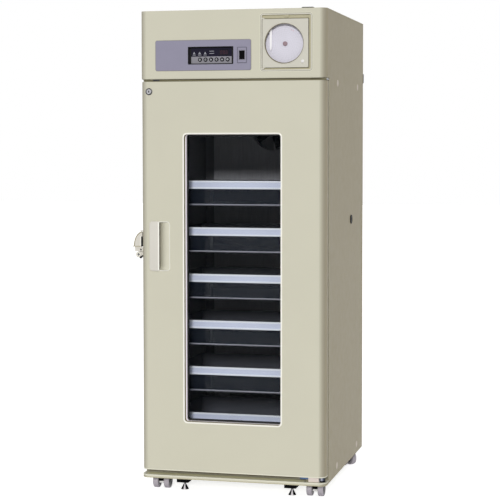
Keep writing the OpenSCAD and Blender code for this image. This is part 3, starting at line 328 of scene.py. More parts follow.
# Painted reflection: a bright band down the front of the hinge knuckle, dark to the sides.
knuckle_painted_reflection = painted_turn_light("knuckle_painted_reflection", "zinc_steel", [
    (-1, 24, 26, 34), (-0.5, 60, 66, 86), (-0.1, 190, 192, 206), (0.3, 110, 116, 138),
    (0.7, 30, 33, 44), (1, 20, 21, 28),
], 0.4)
film = plain("blue_film", "zinc_steel", (72, 98, 138), 0.4, mottle=0.05)
hinge_paint = plain("hinge_paint", "zinc_steel", (224, 212, 206), 0.5, mottle=0.02)
fins = metal("fin_aluminium", "fin_aluminium", (196, 198, 204), 0.4, stretch=(6, 6, 1))
enamel = plain("black_enamel", "black_enamel", (34, 34, 37), 0.35, mottle=0.1, grain=0.15, grain_size=2)
bracket_black = plain("bracket_black", "black_enamel", (9, 9, 10), 0.5, 0.03, mottle=0.1)
moulding = plain("door_moulding", "door_moulding", (228, 226, 216), 0.45, mottle=0.02, grain=0.1)
trim = plain("window_trim", "door_moulding", (252, 245, 252), 0.4, mottle=0.01)
glass = clear("window_glass", "window_glass", (30, 36, 42), 0.02)
rubber = plain("seal_rubber", "seal_rubber", (120, 120, 118), 0.7, mottle=0.06, grain=0.2, grain_size=1)
seal_black = plain("seal_black", "seal_rubber", (18, 18, 20), 0.6, mottle=0.08, grain=0.2, grain_size=1)
handle_tint = plain("handle_plastic", "handle_plastic", (216, 212, 202), 0.4, mottle=0.015, grain=0.08)
# Painted highlight: a lighter copy of the handle's plastic for its bright rim.
rim_highlight_tint = plain("handle_rim_highlight", "handle_plastic", (230, 228, 217), 0.4, mottle=0.015, grain=0.08)
pocket_tint = plain("pocket_plastic", "handle_plastic", (217, 214, 195), 0.45, 0.25, mottle=0.015)
# Painted shade along the hasp hood's rolled edge and the fin's edge.
latch_shade_line = plain("latch_shade_line", "handle_plastic", (158, 149, 118), 0.5, 0.2, mottle=0.02)
chrome = metal("lock_chrome", "lock_chrome", (176, 176, 180), 0.3, rough_shift=0.05, metallic=0.55)
foot_metal = metal("foot_steel", "foot_steel", (64, 63, 66), 0.35, metallic=0.6)
# Painted highlight: a bright upright streak down the front of each levelling foot, black to the sides.
foot_painted_highlight = painted_turn_light("foot_painted_highlight", "foot_steel", [
    (-1, 8, 8, 9), (-0.22, 12, 12, 13), (0, 240, 236, 240), (0.3, 240, 236, 240), (0.46, 12, 12, 13),
    (1, 8, 8, 9),
], 0.5, 0.02)
bright_steel = metal("caster_steel", "caster_steel", (196, 196, 202), 0.28, stretch=(1, 1, 5))
tread = plain("caster_rubber", "caster_rubber", (178, 172, 180), 0.6, mottle=0.07, mottle_size=14,
              grain=0.25)
key_cap = plain("key_plastic", "key_plastic", (10, 10, 12), 0.5, 0.04, mottle=0.05, grain=0.1,
                grain_size=0.7)
print_white = plain("print_white", "key_plastic", (206, 206, 212), 0.5, mottle=0.02)
print_dim = plain("print_dim", "key_plastic", (150, 150, 158), 0.5, mottle=0.02)
tray_steel = plain("drawer_steel", "drawer_steel", (74, 76, 84), 0.5, 0.15, mottle=0.1,
                   stretch=(1, 10, 10))
rail_blue = plain("drawer_rail", "drawer_steel", (208, 216, 238), 0.45, 0.4, mottle=0.02,
                  stretch=(0.2, 1, 1))
# Painted highlight: lighter rolled edges along the top and bottom of each drawer rail.
rail_edge_highlight = plain("drawer_rail_painted_highlight", "drawer_steel", (238, 244, 255), 0.4, 0.4, mottle=0.01)
lip_grey = plain("drawer_lip", "drawer_steel", (150, 152, 164), 0.45, 0.3, mottle=0.03)
card = plain("drawer_card", "drawer_steel", (96, 94, 97), 0.6, 0.15, mottle=0.05)
card_edge = plain("drawer_card_edge", "drawer_steel", (150, 148, 150), 0.5, 0.2, mottle=0.03)
pane = clear("drawer_clear", "drawer_clear", (36, 44, 58), 0.4)

# Mesh building


def rounded_outline(w, h, r, steps=6):
    """Rounded rectangle about its middle; r is one radius, or four from the upper right corner round."""
    radii = r if isinstance(r, tuple) else (r, r, r, r)
    points = []
    for (sx, sz), radius, start in zip(((1, 1), (-1, 1), (-1, -1), (1, -1)), radii, (0, 90, 180, 270)):
        for n in range(steps + 1):
            angle = math.radians(start + 90 * n / steps)
            points.append((sx * (w / 2 - radius) + radius * math.cos(angle),
                           sz * (h / 2 - radius) + radius * math.sin(angle)))
    return points


def outline_at(x, z, w, h, r):
    """Rounded rectangle about a place on an upright plane."""
    return [(x + u, z + v) for u, v in rounded_outline(w, h, r)]


def plan_outline(w, d, r, front, steps=8):
    """Plan outline with two rounded front corners, as pairs of x and y."""
    points = [(w / 2, front + d), (-w / 2, front + d)]
    for side in (-1, 1):
        for n in range(steps + 1):
            share = n / steps if side < 0 else 1 - n / steps
            angle = math.radians(90 * share)
            points.append((side * (w / 2 - r + r * math.cos(angle)), front + r - r * math.sin(angle)))
    return points


def circle(radius, steps=32):
    return [(radius * math.cos(2 * math.pi * n / steps), radius * math.sin(2 * math.pi * n / steps))
            for n in range(steps)]


def inset_radii(r, inset):
    """Corner radii of an outline that is drawn in."""
    least = 0.05
    if isinstance(r, tuple):
        return tuple(max(radius - inset, least) for radius in r)
    return max(r - inset, least)


class Shape:
    """Mesh under construction, in the drawing frame."""

    def __init__(self):
        self.points = []
        self.faces = []

    def loft(self, rings, closed=False):
        """Skin over rings of equally many points; closed joins the last ring to the first."""
        base = len(self.points)
        count = len(rings[0])
        for ring in rings:
            self.points.extend(ring)
        for k in range(len(rings) if closed else len(rings) - 1):
            low = base + k * count
            high = base + (k + 1) % len(rings) * count
            for n in range(count):
                m = (n + 1) % count
                self.faces.append((low + n, low + m, high + m, high + n))
        if not closed:
            last = base + (len(rings) - 1) * count
            self.faces.append(tuple(range(base + count - 1, base - 1, -1)))
            self.faces.append(tuple(range(last, last + count)))
        return self

    def plate(self, x, z, w, h, r, back, front, edge=0.6, steps=3):
        """Upright rounded plate whose front edge is rounded over."""
        rings = [[(x + u, back, z + v) for u, v in rounded_outline(w, h, r)]]
        for n in range(steps + 1):
            angle = math.radians(90 * n / steps)
            inset = edge * (1 - math.cos(angle))
            depth = front + edge * (1 - math.sin(angle))
            outline = rounded_outline(w - 2 * inset, h - 2 * inset, inset_radii(r, inset))
            rings.append([(x + u, depth, z + v) for u, v in outline])
        return self.loft(rings)

    def band(self, x, z, w, h, r, profile):
        """Ring around a rounded rectangle; the profile holds pairs of inset and depth."""
        rings = []
        for inset, depth in profile:
            outline = rounded_outline(w - 2 * inset, h - 2 * inset, inset_radii(r, inset))
            rings.append([(x + u, depth, z + v) for u, v in outline])
        return self.loft(rings, closed=True)

    def surround(self, outer, inner, back, front):
        """Upright ring between two outlines of equally many points."""
        rings = []
        for outline, depth in ((outer, back), (outer, front), (inner, front), (inner, back)):
            rings.append([(x, depth, z) for x, z in outline])
        return self.loft(rings, closed=True)

    def round_band(self, x, z, profile, steps=32):
        """Round ring about a place on an upright plane; the profile holds pairs of radius and depth."""
        rings = []
        for radius, depth in profile:
            rings.append([(x + u, depth, z + v) for u, v in circle(radius, steps)])
        return self.loft(rings, closed=True)

    def collar(self, outer, inner, low, high):
        """Level ring between two plan outlines of equally many points."""
        rings = []
        for outline, z in ((outer, low), (outer, high), (inner, high), (inner, low)):
            rings.append([(x, y, z) for x, y in outline])
        return self.loft(rings, closed=True)

    def turned(self, centre, profile, axis="y", steps=32):
        """Turned solid; the profile holds pairs of radius and distance along the axis."""
        x, y, z = centre
        rings = []
        for radius, along in profile:
            ring = circle(max(radius, 0.01), steps)
            if axis == "x":
                rings.append([(x + along, y + u, z + v) for u, v in ring])
            elif axis == "y":
                rings.append([(x + u, y + along, z + v) for u, v in ring])
            else:
                rings.append([(x + u, y + v, z + along) for u, v in ring])
        return self.loft(rings)

    def hoop(self, centre, radius, thick, steps=32, sides=8):
        """Round wire ring that faces along y."""
        x, y, z = centre
        rings = []
        for n in range(steps):
            angle = 2 * math.pi * n / steps
            ring = []
            for u, v in circle(thick / 2, sides):
                reach = radius + u
                ring.append((x + reach * math.cos(angle), y + v, z + reach * math.sin(angle)))
            rings.append(ring)
        return self.loft(rings, closed=True)

    def block(self, low, high):
        """Block between two corners."""
        (x0, y0, z0), (x1, y1, z1) = low, high
        lower = [(x0, y0, z0), (x1, y0, z0), (x1, y1, z0), (x0, y1, z0)]
        return self.loft([lower, [(x, y, z1) for x, y, _ in lower]])

    def drawn(self, outline, x0, x1):
        """Bar along x with an outline of depth and height pairs."""
        return self.loft([[(x, y, z) for y, z in outline] for x in (x0, x1)])

    def tube(self, path, radius, sides=10):
        """Round tube along a path."""
        spots = [Vector(point) for point in path]
        side = Vector((1, 0, 0))
        rings = []
        for n, spot in enumerate(spots):
            along = (spots[min(n + 1, len(spots) - 1)] - spots[max(n - 1, 0)]).normalized()
            side = side - along * side.dot(along)
            if side.length < 0.001:
                side = along.orthogonal()
            side.normalize()
            other = along.cross(side)
            rings.append([tuple(spot + side * u + other * v) for u, v in circle(radius, sides)])
        return self.loft(rings)


SHARP = math.radians(38)


def piece(name, shape, material, body="cabinet", edge=0.0, replaces=()):
    """Object made of a shape, with rounded edges, that rides on a body."""
    mesh = bpy.data.meshes.new(name)
    mesh.from_pydata([at(*point) for point in shape.points], [], shape.faces)
    work = bmesh.new()
    work.from_mesh(mesh)
    bmesh.ops.recalc_face_normals(work, faces=work.faces)
    work.to_mesh(mesh)
    work.free()
    mesh.materials.append(material)
    mesh.shade_smooth()
    mesh.set_sharp_from_angle(angle=SHARP)
    made = placed(name, mesh)
    if edge:
        round_edges(made, edge)
    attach(made, body)
    if replaces:
        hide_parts(*replaces)


def slab(name, low, high, material, body="cabinet", edge=0.0):
    """Piece that is one block between two corners."""
    piece(name, Shape().block(low, high), material, body, edge)


def round_edges(obj, edge, segments=3):
    """Rounds the edges of an object and keeps its flat faces flat."""
    bevel = obj.modifiers.new("round_edges", "BEVEL")
    bevel.width = edge * MM
    bevel.segments = segments
    bevel.limit_method = "ANGLE"
    bevel.angle_limit = SHARP
    bevel.harden_normals = False
    normal = obj.modifiers.new("flat_faces", "WEIGHTED_NORMAL")
    normal.keep_sharp = True


def shading_group():
    """Node group that shades round faces smoothly and keeps sharp edges."""
    group = bpy.data.node_groups.new("soft_shading", "GeometryNodeTree")
    group.interface.new_socket("Geometry", in_out="INPUT", socket_type="NodeSocketGeometry")
    group.interface.new_socket("Geometry", in_out="OUTPUT", socket_type="NodeSocketGeometry")
    start = group.nodes.new("NodeGroupInput")
    end = group.nodes.new("NodeGroupOutput")
    faces = group.nodes.new("GeometryNodeSetShadeSmooth")
    faces.domain = "FACE"
    edges = group.nodes.new("GeometryNodeSetShadeSmooth")
    edges.domain = "EDGE"
    edges.inputs["Shade Smooth"].default_value = False
    angle = group.nodes.new("GeometryNodeInputMeshEdgeAngle")
    limit = group.nodes.new("FunctionNodeCompare")
    limit.operation = "GREATER_THAN"
    limit.inputs["B"].default_value = SHARP
    group.links.new(start.outputs[0], faces.inputs["Geometry"])
    group.links.new(faces.outputs[0], edges.inputs["Geometry"])
    group.links.new(angle.outputs["Unsigned Angle"], limit.inputs["A"])
    group.links.new(limit.outputs[0], edges.inputs["Selection"])
    group.links.new(edges.outputs[0], end.inputs[0])
    return group


SOFT_SHADING = shading_group()


def dress(names, material, edge=0.0, soft=True):
    """Material and softened edges of solids that stay as they are; flat sheets can keep flat faces."""
    for name in names.split():
        solid = nodes[name]
        solid.data.materials.clear()
        solid.data.materials.append(material)
        if not soft:
            continue
        weld = solid.modifiers.new("joined_faces", "WELD")
        weld.merge_threshold = 0.00002
        smooth = solid.modifiers.new("soft_shading", "NODES")
        smooth.node_group = SOFT_SHADING
        if edge:
            round_edges(solid, edge)


def screw(shape, x, y, z, radius, axis="y", way=-1):
    """Pan head of a screw on a face, standing out along the axis."""
    high = radius * 0.5
    profile = [(radius, 0), (radius, way * high * 0.5), (radius * 0.8, way * high), (0, way * high * 1.1)]
    return shape.turned((x, y, z), profile, axis, 20)


# Solids that keep their shape

dress("outer_case", paint, soft=False)
dress("head_panel base_frame", paint, 1.2)
dress("door_skin", paint, 1.0)
dress("door_liner", moulding, 0.6)
dress("inner_liner", lining, 0.5)
dress("air_duct", duct_grey)
dress("insulation_foam door_foam", foam)
dress("control_plate", foil, 0.6)
dress("display_module", black, 0.5)
dress("recorder_housing", pale, 0.5)
dress("recorder_door", pale, 1.4)
dress("hinge_brackets", zinc, 0.8)
dress("drawer_runners rear_cover", zinc, 0.4)
dress("evaporator_coil condenser", fins)
dress("compressor", enamel, 0.8)
dress("mount_plates", bracket_black, 0.8)
dress("window_glass", glass)
dress("latch_base latch_lever", handle_tint, 0.7)
dress("door_lock", chrome, 0.4)
dress("rocker_switch", rocker_black, 0.8)
dress("evaporator_fan condenser_fan", black, 0.6)
for corner in CASTERS:
    dress(f"fork_{corner}", bracket_black, 1.2)
for number in DRAWERS:
    dress(f"drawer_tray_{number}", tray_steel, 0.5)
    dress(f"drawer_pane_{number}", pane)

# Window: rolled lip with a painted highlight, painted shade on the reveal's outer half, a white trim on its
# inner half, and the black glazing seal


def window_looks():
    # Rolled lip round the opening, painted near-white as a highlight.
    piece("window_lip", Shape().band(*WINDOW, [
        (-6, 0.2), (-5.6, -0.9), (-4.4, -1.6), (-1.2, -1.6), (0.2, -0.6), (0.3, 2), (-0.6, 2), (-0.6, 0.2),
    ]), highlight_paint, "door")
    rings = []
    profile = ((-0.5, -0.5, 17.5), (4.2, 0.4, 21.5), (4.2, 0.4, REVEAL_D), (-0.5, -0.5, REVEAL_D))
    for side_inset, inset, depth in profile:
        outline = outline_at(0, WINDOW_Z, WINDOW_W - 2 * side_inset, WINDOW_H - 2 * inset, WINDOW_R)
        rings.append([(x, depth, z) for x, z in outline])
    piece("window_trim", Shape().loft(rings, closed=True), trim, "door")
    # Painted shade over the outer half of the reveal.
    piece("window_reveal_shade", Shape().band(*WINDOW, [
        (-0.4, 2.2), (0.3, 2.2), (0.3, 17.4), (-0.4, 17.4),
    ]), reveal_shade_paint, "door")
    piece("glazing_seal", Shape().band(0, WINDOW_Z, WINDOW_W - 2, WINDOW_H - 2, WINDOW_R - 1, [
        (0, REVEAL_D), (0.4, REVEAL_D - 1.6), (1.6, REVEAL_D - 2.2), (5.4, REVEAL_D - 1),
        (6.6, REVEAL_D + 1.5), (6.6, REVEAL_D + 3.6), (4, REVEAL_D + 3.6), (4, REVEAL_D),
    ]), seal_black, "door")
    piece("pane_spacer", Shape().band(*WINDOW, [
        (5.6, 38.2), (5.6, 53.6), (4.9, 53.6), (4.9, 38.2),
    ]), seal_black, "door")


window_looks()

# Door seal, handle, lock and hasp


def seal_looks():
    low, high = corners("door_gasket")
    width = 22
    front, back = low.y, high.y

    def lobe(inset, wide, level, rise):
        """Half round of the profile, as pairs of inset and depth."""
        angles = [math.radians(180 - 22.5 * n) for n in range(9)]
        return [(inset + wide * math.cos(angle), level + rise * math.sin(angle)) for angle in angles]

    profile = [
        (0, front), *lobe(6, 6, back - 4, 4), (12.6, front + 3.5), (13.4, front + 3.5),
        *lobe(17.7, 4.3, back - 5, 3), (width, front),
    ]
    spot = centre_of("door_gasket")
    seal = Shape().band(spot.x, spot.z, high.x - low.x, high.z - low.z, width + 2, profile)
    piece("door_seal", seal, rubber, "door", replaces=("door_gasket",))


def handle_looks():
    low, high = corners("handle_insert")
    middle = (low.z + high.z) / 2
    height = high.z - low.z
    grip_w = 42
    grip_r = (2.5, 13, 13, 2.5)
    grip_right = low.x + grip_w
    # Rim in a lighter copy of the handle's plastic: a painted highlight.
    rim = Shape().band((low.x + high.x) / 2, middle, high.x - low.x, height, 13, [
        (0, 0.1), (0, -1.2), (0.5, -1.9), (1.4, -2.2), (3.2, -2), (4, -0.5), (4.4, 3), (3, 3), (3, 0.1),
    ])
    piece("handle_rim", rim, rim_highlight_tint, "door")
    grip = Shape().plate(low.x + grip_w / 2, middle, grip_w, height, grip_r, -0.4, low.y, 2.2, 5)
    piece("handle_grip", grip, handle_tint, "door", replaces=("handle_insert",))
    pocket = pocket_shape(low.x + 5.5, high.x - 3.4, middle, height - 9)
    piece("handle_pocket", pocket, pocket_tint, "door")
    edge_r = (2.5, 0.5, 0.5, 2.5)
    # Strip along the grip's right edge, painted near-white as a highlight.
    edge = Shape().plate(grip_right - 3, middle, 6, height - 6, edge_r, -0.4, low.y - 0.3, 1.6, 4)
    piece("grip_edge_highlight", edge, highlight_paint, "door")
    # Dark plate deep in the pocket under the grip: painted shade.
    half = height / 2 - 22
    slab("pocket_shade", (grip_right - 20, 24.2, middle - half), (grip_right - 7.5, 25, middle + half),
         shade_paint, "door")


def pocket_shape(left, right, middle, height):
    """Scooped finger pocket: a closed shell, deep under the grip and rising to the right edge."""
    deep = 27
    wall = 1.6
    slope = 47
    end_round = 16
    across = 18
    along = 28

    def depth(x, z):
        rise = min(1.0, (right - x) / slope)
        ends = max(0.0, abs(z - middle) - (height / 2 - end_round)) / end_round
        return deep * rise ** 1.9 * math.sqrt(max(0.0, 1 - ends * ends))

    def section(z, behind):
        row = []
        for n in range(across + 1):
            x = left + (right - left) * n / across
            row.append((x, depth(x, z) + (wall if behind else 0), z))
        return row

    rings = []
    for k in range(along + 1):
        z = middle - height / 2 * math.cos(math.pi * k / along)
        rings.append(section(z, False) + section(z, True)[::-1])
    return Shape().loft(rings)


def lock_looks():
    x, _, z = centre_of("door_lock")
    front = corners("door_lock")[0].y
    bezel = Shape().round_band(x, z, [
        (9.9, -3.2), (10.6, -3.8), (12.6, -3.7), (13.9, -2.8), (14.2, 0), (9.9, 0),
    ], 40)
    piece("lock_bezel", bezel, foot_metal, "door")
    slot = Shape().block((x - 1, front - 0.05, z - 4.6), (x + 1, front + 0.4, z + 4.6))
    slot.turned((x, front, z), [(3, 0.4), (3, -0.06), (0, -0.06)], steps=20)
    piece("key_slot", slot, seal_black, "lock")


def hasp_looks():
    low = corners("latch_base")[0]
    lever_low, lever_high = corners("latch_lever")
    mid_y = (lever_low.y + lever_high.y) / 2
    pivot_x, pivot_z = lever_low.x + 37.5, 996
    eye_x, eye_y, eye_z = -407.5, 38.5, 975
    # Near-white hoop round the eye's hole: a painted highlight on its rim.
    ring = Shape().hoop((eye_x, eye_y - 0.4, eye_z), 7.6, 4.2)
    piece("hasp_eye_highlight", ring, highlight_paint, "door")
    # Black sleeve in the eye's hole, so that the hole looks dark: painted shade.
    eye_hole_dark = Shape().round_band(eye_x, eye_z, [
        (4.7, eye_y + 0.3), (4.2, eye_y + 0.3), (4.2, eye_y + 4.3), (4.7, eye_y + 4.3),
    ])
    piece("hasp_eye_hole_shade", eye_hole_dark, seal_black, "door")
    # Black washer on the case's eye plate behind the hole: painted shade.
    eye_plate_shade = Shape().round_band(eye_x, eye_z, [(11.6, 68.1), (11.6, 67.4), (4.6, 67.4), (4.6, 68.1)])
    piece("case_eye_shade", eye_plate_shade, seal_black)
    heads = screw(Shape(), pivot_x, low.y, pivot_z, 3.4)
    screw(heads, HASP_X, mid_y, low.z + 5, 3, "x")
    piece("hasp_screws", heads, seal_black, "door")
    wedge = ((-386, 974), (-386, 968), (-395, 958), (-403, 960.5), (-399, 967))
    foot = Shape().loft([[(x, depth, z) for x, z in wedge] for depth in (34, 36.4)])
    piece("hasp_foot", foot, seal_black, "door")
    hood_looks(lever_low, lever_high)


def hood_looks(lever_low, lever_high):
    """Rolled edge along the hood's outline and the fin's edge, both in painted shade; a black block as
    painted shade in its slot; a painted highlight on its inner rim; and its skirt.
    """
    left = lever_low.x + 8
    front = lever_low.y
    inner = HASP_X - HOOD_GAP
    reach = HASP_X - left
    steps = 12
    path = []
    for n in range(steps + 1):
        angle = math.acos(HOOD_GAP / reach) * n / steps
        path.append((HASP_X - reach * math.cos(angle), front, HOOD_Z + HOOD_TOP * math.sin(angle)))
    piece("hood_edge", Shape().tube(path, 1.8), latch_shade_line, "latch")
    # Black block in the hood's slot: painted shade.
    slab("hood_slot_shade", (inner - 5.2, front - 0.3, HOOD_Z - 2),
         (inner + 0.3, lever_high.y - 1, HOOD_Z + 39), seal_black, "latch")
    # Near-white strip on the hood's inner rim: a painted highlight.
    slab("hood_rim_highlight", (inner - 9.4, front - 0.15, HOOD_Z + 1), (inner - 5.4, front + 0.5, HOOD_Z + 41),
         highlight_paint, "latch")
    slab("fin_edge", (lever_low.x, front - 0.15, HOOD_Z - 2.4), (inner - 9, front + 0.4, HOOD_Z + 0.2),
         latch_shade_line, "latch")
    slab("hood_skirt", (left + 2.5, front + 0.1, HOOD_Z - 10), (inner, front + 2, HOOD_Z - 1),
         handle_tint, "latch")


seal_looks()
handle_looks()
lock_looks()
hasp_looks()

# Head panel: display, keys, switch and a painted shadow line round their plate


def panel_face(name, x, z, w, h, y, holes, material, thick=0.6):
    """Thin printed face with round holes, made from a filled flat curve."""
    flat = bpy.data.curves.new(name, "CURVE")
    flat.dimensions = "2D"
    flat.fill_mode = "BOTH"
    flat.extrude = thick / 2 * MM
    outlines = [rounded_outline(w, h, 1.5)]
    for hole_x, hole_z, radius in holes:
        outlines.append([(hole_x - x + u, hole_z - z + v) for u, v in circle(radius, 36)])
    for outline in outlines:
        spline = flat.splines.new("POLY")
        spline.points.add(len(outline) - 1)
        spline.use_cyclic_u = True
        for point, (u, v) in zip(spline.points, outline):
            point.co = (u * MM, v * MM, 0, 1)
    holder = placed(name + "_curve", flat)
    holder.rotation_euler = (math.pi / 2, 0, 0)
    holder.location = at(x, y, z)
    bpy.context.view_layer.update()
    mesh = bpy.data.meshes.new_from_object(holder)
    mesh.transform(holder.matrix_world)
    bpy.data.objects.remove(holder)
    mesh.name = name
    mesh.materials.clear()
    mesh.materials.append(material)
    made = placed(name, mesh)
    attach(made, "cabinet")


def display_looks():
    x, z = -87.5, CONTROLS_Z
    face = 12
    inner_w, inner_h = 168, 62
    split_z = 1778
    keys = [centre_of(f"button_{n}") for n in KEYS]
    top = z + inner_h / 2
    bottom = z - inner_h / 2
    sheet = face - 0.4
    panel_face("display_face_upper", x, (top + split_z) / 2, inner_w, top - split_z, sheet, [], gloss_black)
    panel_face("display_face_lower", x, (bottom + split_z) / 2, inner_w, split_z - bottom, sheet,
               [(key.x, key.z, 8.6) for key in keys], face_grey)
    window = Shape().band(x + 52, split_z + 16, 42, 22, 2, [
        (0, face), (0, face - 1.4), (0.8, face - 1.8), (2, face - 1.4), (2, face),
    ])
    piece("readout_frame", window, black)
    digits = Shape()
    for n in range(3):
        seven_bars(digits, x + 41 + 11 * n, split_z + 16, face - 0.95)
    piece("readout_digits", digits, readout_red)
    marks = Shape()
    back, front = face - 0.7, face - 0.85
    for n in range(3):
        icon_x = x - 72 + 23 * n
        marks.loft([[(icon_x + u * 6.4, depth, split_z + 13 + v * 6.4) for v, u in circle(1, 3)]
                    for depth in (back, front)])
        marks.block((icon_x - 7, front, split_z + 5), (icon_x + 7, back, split_z + 7))
    for n in range(2):
        marks.block((x - 8, front, split_z + 11 + 9 * n), (x + 11, back, split_z + 13.4 + 9 * n))
    piece("display_marks", marks, print_dim)
    for n, key in zip(KEYS, keys):
        key_looks(n, key.x, key.z)


def seven_bars(shape, x, z, y):
    """Unlit bars of one digit of a readout."""
    w, h, t = 6, 14, 1.1
    for row in (-1, 0, 1):
        level = z + row * h / 2
        shape.block((x - w / 2 + t, y, level - t / 2), (x + w / 2 - t, y + 0.3, level + t / 2))
    for side in (-1, 1):
        for row in (-1, 1):
            middle = z + row * h / 4
            shape.block((x + side * w / 2 - t / 2, y, middle - h / 4 + t),
                        (x + side * w / 2 + t / 2, y + 0.3, middle + h / 4 - t))


def key_looks(n, x, z):
    low, high = corners(f"button_{n}")
    front = low.y
    cap = Shape().turned((x, 0, z), [
        (9.3, high.y), (9.3, high.y - 3.2), (7.9, high.y - 3.2), (7.9, front + 1.4), (7.5, front + 0.5),
        (6.6, front), (5.9, front + 0.5), (3, front + 0.9), (0, front + 1.0),
    ], steps=40)
    piece(f"key_cap_{n}", cap, key_cap, f"key_{n}", replaces=(f"button_{n}",))
    sign = Shape().hoop((x, front + 1.0, z), 3.5, 1.4, 36, 6)
    bar = (x - 2.6, front + 0.55, z - 0.5), (x + 2.6, front + 1.2, z + 0.5)
    stem = (x - 0.5, front + 0.55, z - 2.6), (x + 0.5, front + 1.2, z + 2.6)
    if n in (1, 2, 5):
        sign.block(*bar)
    if n in (1, 4):
        sign.block(*stem)
    if n in (3, 6):
        turn = 90 if n == 3 else -90
        angles = [math.radians(turn + 120 * k) for k in range(3)]
        arrow = [(2.8 * math.cos(angle), 2.8 * math.sin(angle)) for angle in angles]
        sign.loft([[(x + u, front + depth, z + v) for u, v in arrow] for depth in (0.5, 1.2)])
    piece(f"key_sign_{n}", sign, print_white, f"key_{n}")


def switch_looks():
    x, z = 42.75, CONTROLS_Z
    front = PLATE_LOW.y
    groove = Shape().band(x, z, 41.5, 66, 3, [
        (1.6, front + 0.4), (1.6, front - 0.15), (3, front - 0.15), (3, front + 0.4),
    ])
    piece("switch_outline", groove, black)
    surround = Shape().band(x, z, 27, 40, 2.5, [
        (0, front + 0.2), (0, front - 0.5), (0.6, front - 0.9), (1.6, front - 0.9), (2.2, front),
        (2.2, front + 3), (0, front + 3),
    ])
    piece("switch_surround", surround, face_grey)
    # Dark line round the control plate: a painted shadow line.
    spot = centre_of("control_plate")
    size = PLATE_HIGH - PLATE_LOW
    border = Shape().band(spot.x, spot.z, size.x, size.z, 7, [
        (-1.2, 0.2), (-1.2, -0.5), (0.4, -0.5), (0.4, 0.2),
    ])
    piece("plate_shadow_line", border, shade_paint)


display_looks()
switch_looks()

# Chart recorder


def recorder_looks():
    low, high = corners("chart_disc")
    x, _, z = centre_of("chart_disc")
    sheet_y = 24
    radius = (high.x - low.x) / 2
    sheet = Shape().turned((x, 0, z), [
        (3.2, sheet_y + 1.4), (radius - 0.3, sheet_y + 1.4), (radius, sheet_y + 0.9),
        (radius, sheet_y + 0.3), (radius - 0.3, sheet_y), (9, sheet_y - 0.3), (0, sheet_y - 0.3),
    ], steps=96)
    paper = chart_paper("chart_paper", "chart_paper", at(x, sheet_y, z))
    piece("chart_sheet", sheet, paper, "chart", replaces=("chart_disc",))
    rings = []
    ribs = 18
    for size, depth in ((9.5, sheet_y), (9.5, low.y + 1.4), (8.2, low.y + 0.2), (4, low.y), (0.02, low.y)):
        ring = []
        for n in range(2 * ribs):
            reach = size * (1 if n % 2 else 0.94)
            angle = math.pi * n / ribs
            ring.append((x + reach * math.cos(angle), depth, z + reach * math.sin(angle)))
        rings.append(ring)
    piece("chart_hub", Shape().loft(rings), hub_plastic, "chart")
    pen_looks()
    ring = Shape().round_band(x, z, [(79.4, 1.6), (80.2, 0.9), (82.0, 0.9), (82.8, 2.2), (79.4, 2.2)], 72)
    piece("recorder_ring", ring, pale, "chart_door")
    # Dark ring round the chart's window, wider to the left and below: painted shade.
    rings = [[(x + aside * 1.3 + u, depth, z + aside * 0.7 + v) for u, v in circle(size, 72)]
             for size, aside, depth in ((79.3, 0, 1.5), (76.9, 1, 1.5), (76.9, 1, 2.3), (79.3, 0, 2.3))]
    piece("chart_window_shade_ring", Shape().loft(rings, closed=True), window_edge_shade, "chart_door")
    front = corners("recorder_door")[0].y
    knob = Shape().turned((289, 0, 1754), [
        (7.2, 2), (7.2, front + 1.2), (6.4, front + 0.2), (5, front - 0.3), (0, front - 0.5),
    ])
    piece("recorder_knob", knob, white, "chart_door")
    pocket_looks()


def pocket_looks():
    """Catch and ledge of the recorder's pocket, painted shade in the gap round its door, and painted
    shadow, shade and highlight lines along its edge.
    """
    top = corners("recorder_housing")[1].z
    slab("recorder_catch", (213, 2.2, top - 14), (233, 7, top - 5.2), tan_paint, edge=0.5)
    door_x, door_z, door_w, door_h = 218.35, 1826, 186.5, 191.5
    play, gap_w, rim = 1.2, 3.2, 5
    opening = outline_at(door_x, door_z, door_w + 2 * play, door_h + 2 * play, 4)
    x, z, w, h = POCKET[:4]
    around = outline_at(x, z, w - 2 * rim, h - 2 * rim, 6)
    piece("recorder_ledge", Shape().surround(around, opening, 12, 6.6), tan_paint)
    # A painted shadow line outside the pocket's rim, painted shade on the rim's inner slope and a painted
    # highlight line further out.
    for name, material, profile in (
        ("recorder_shadow_line", shade_paint, [(-1.1, 0.2), (-1.1, -0.4), (0.3, -0.4), (0.3, 0.2)]),
        ("recorder_frame_shade", shade_paint, [(0.1, 0.5), (0.5, 0.1), (3.4, 3.4), (3.4, 5), (0.1, 5)]),
        ("recorder_shine", highlight_line_paint, [(-3.6, 0.2), (-3.4, -0.4), (-1.4, -0.4), (-1.2, 0.2)]),
    ):
        piece(name, Shape().band(*POCKET, profile), material)
    # Painted shade in the gap round the recorder's door.
    around = outline_at(door_x, door_z, door_w + 2 * gap_w, door_h + 2 * gap_w, 4)
    piece("recorder_gap_shade", Shape().surround(around, opening, 7, 6.3), shade_paint)


def pen_looks():
    pivot = Vector((156.5, 0, 1904))
    reach = 106
    along = Vector((0, 0, -1))
    across = Vector((1, 0, 0))
    rings = []
    for share, half in ((0, 4.4), (0.15, 4.8), (0.8, 4.4), (0.95, 3), (1, 1.2)):
        spot = pivot + along * reach * share
        bow = 15 - 1.2 * math.sin(math.pi * share)
        ring = []
        for side, depth in ((-1, 0.8), (1, 0.8), (1, -0.2), (0.6, -0.8), (-0.6, -0.8), (-1, -0.2)):
            point = spot + across * half * side
            ring.append((point.x, bow + depth, point.z))
        rings.append(ring)
    arm = Shape().loft(rings)
    arm.turned((pivot.x, 0, pivot.z), [(2, 36), (2, 16.5), (5, 16.5), (5, 13.6), (4.2, 12.8), (0, 12.6)])
    piece("pen_lever", arm, pen_white, "pen", replaces=("pen_arm",))


recorder_looks()

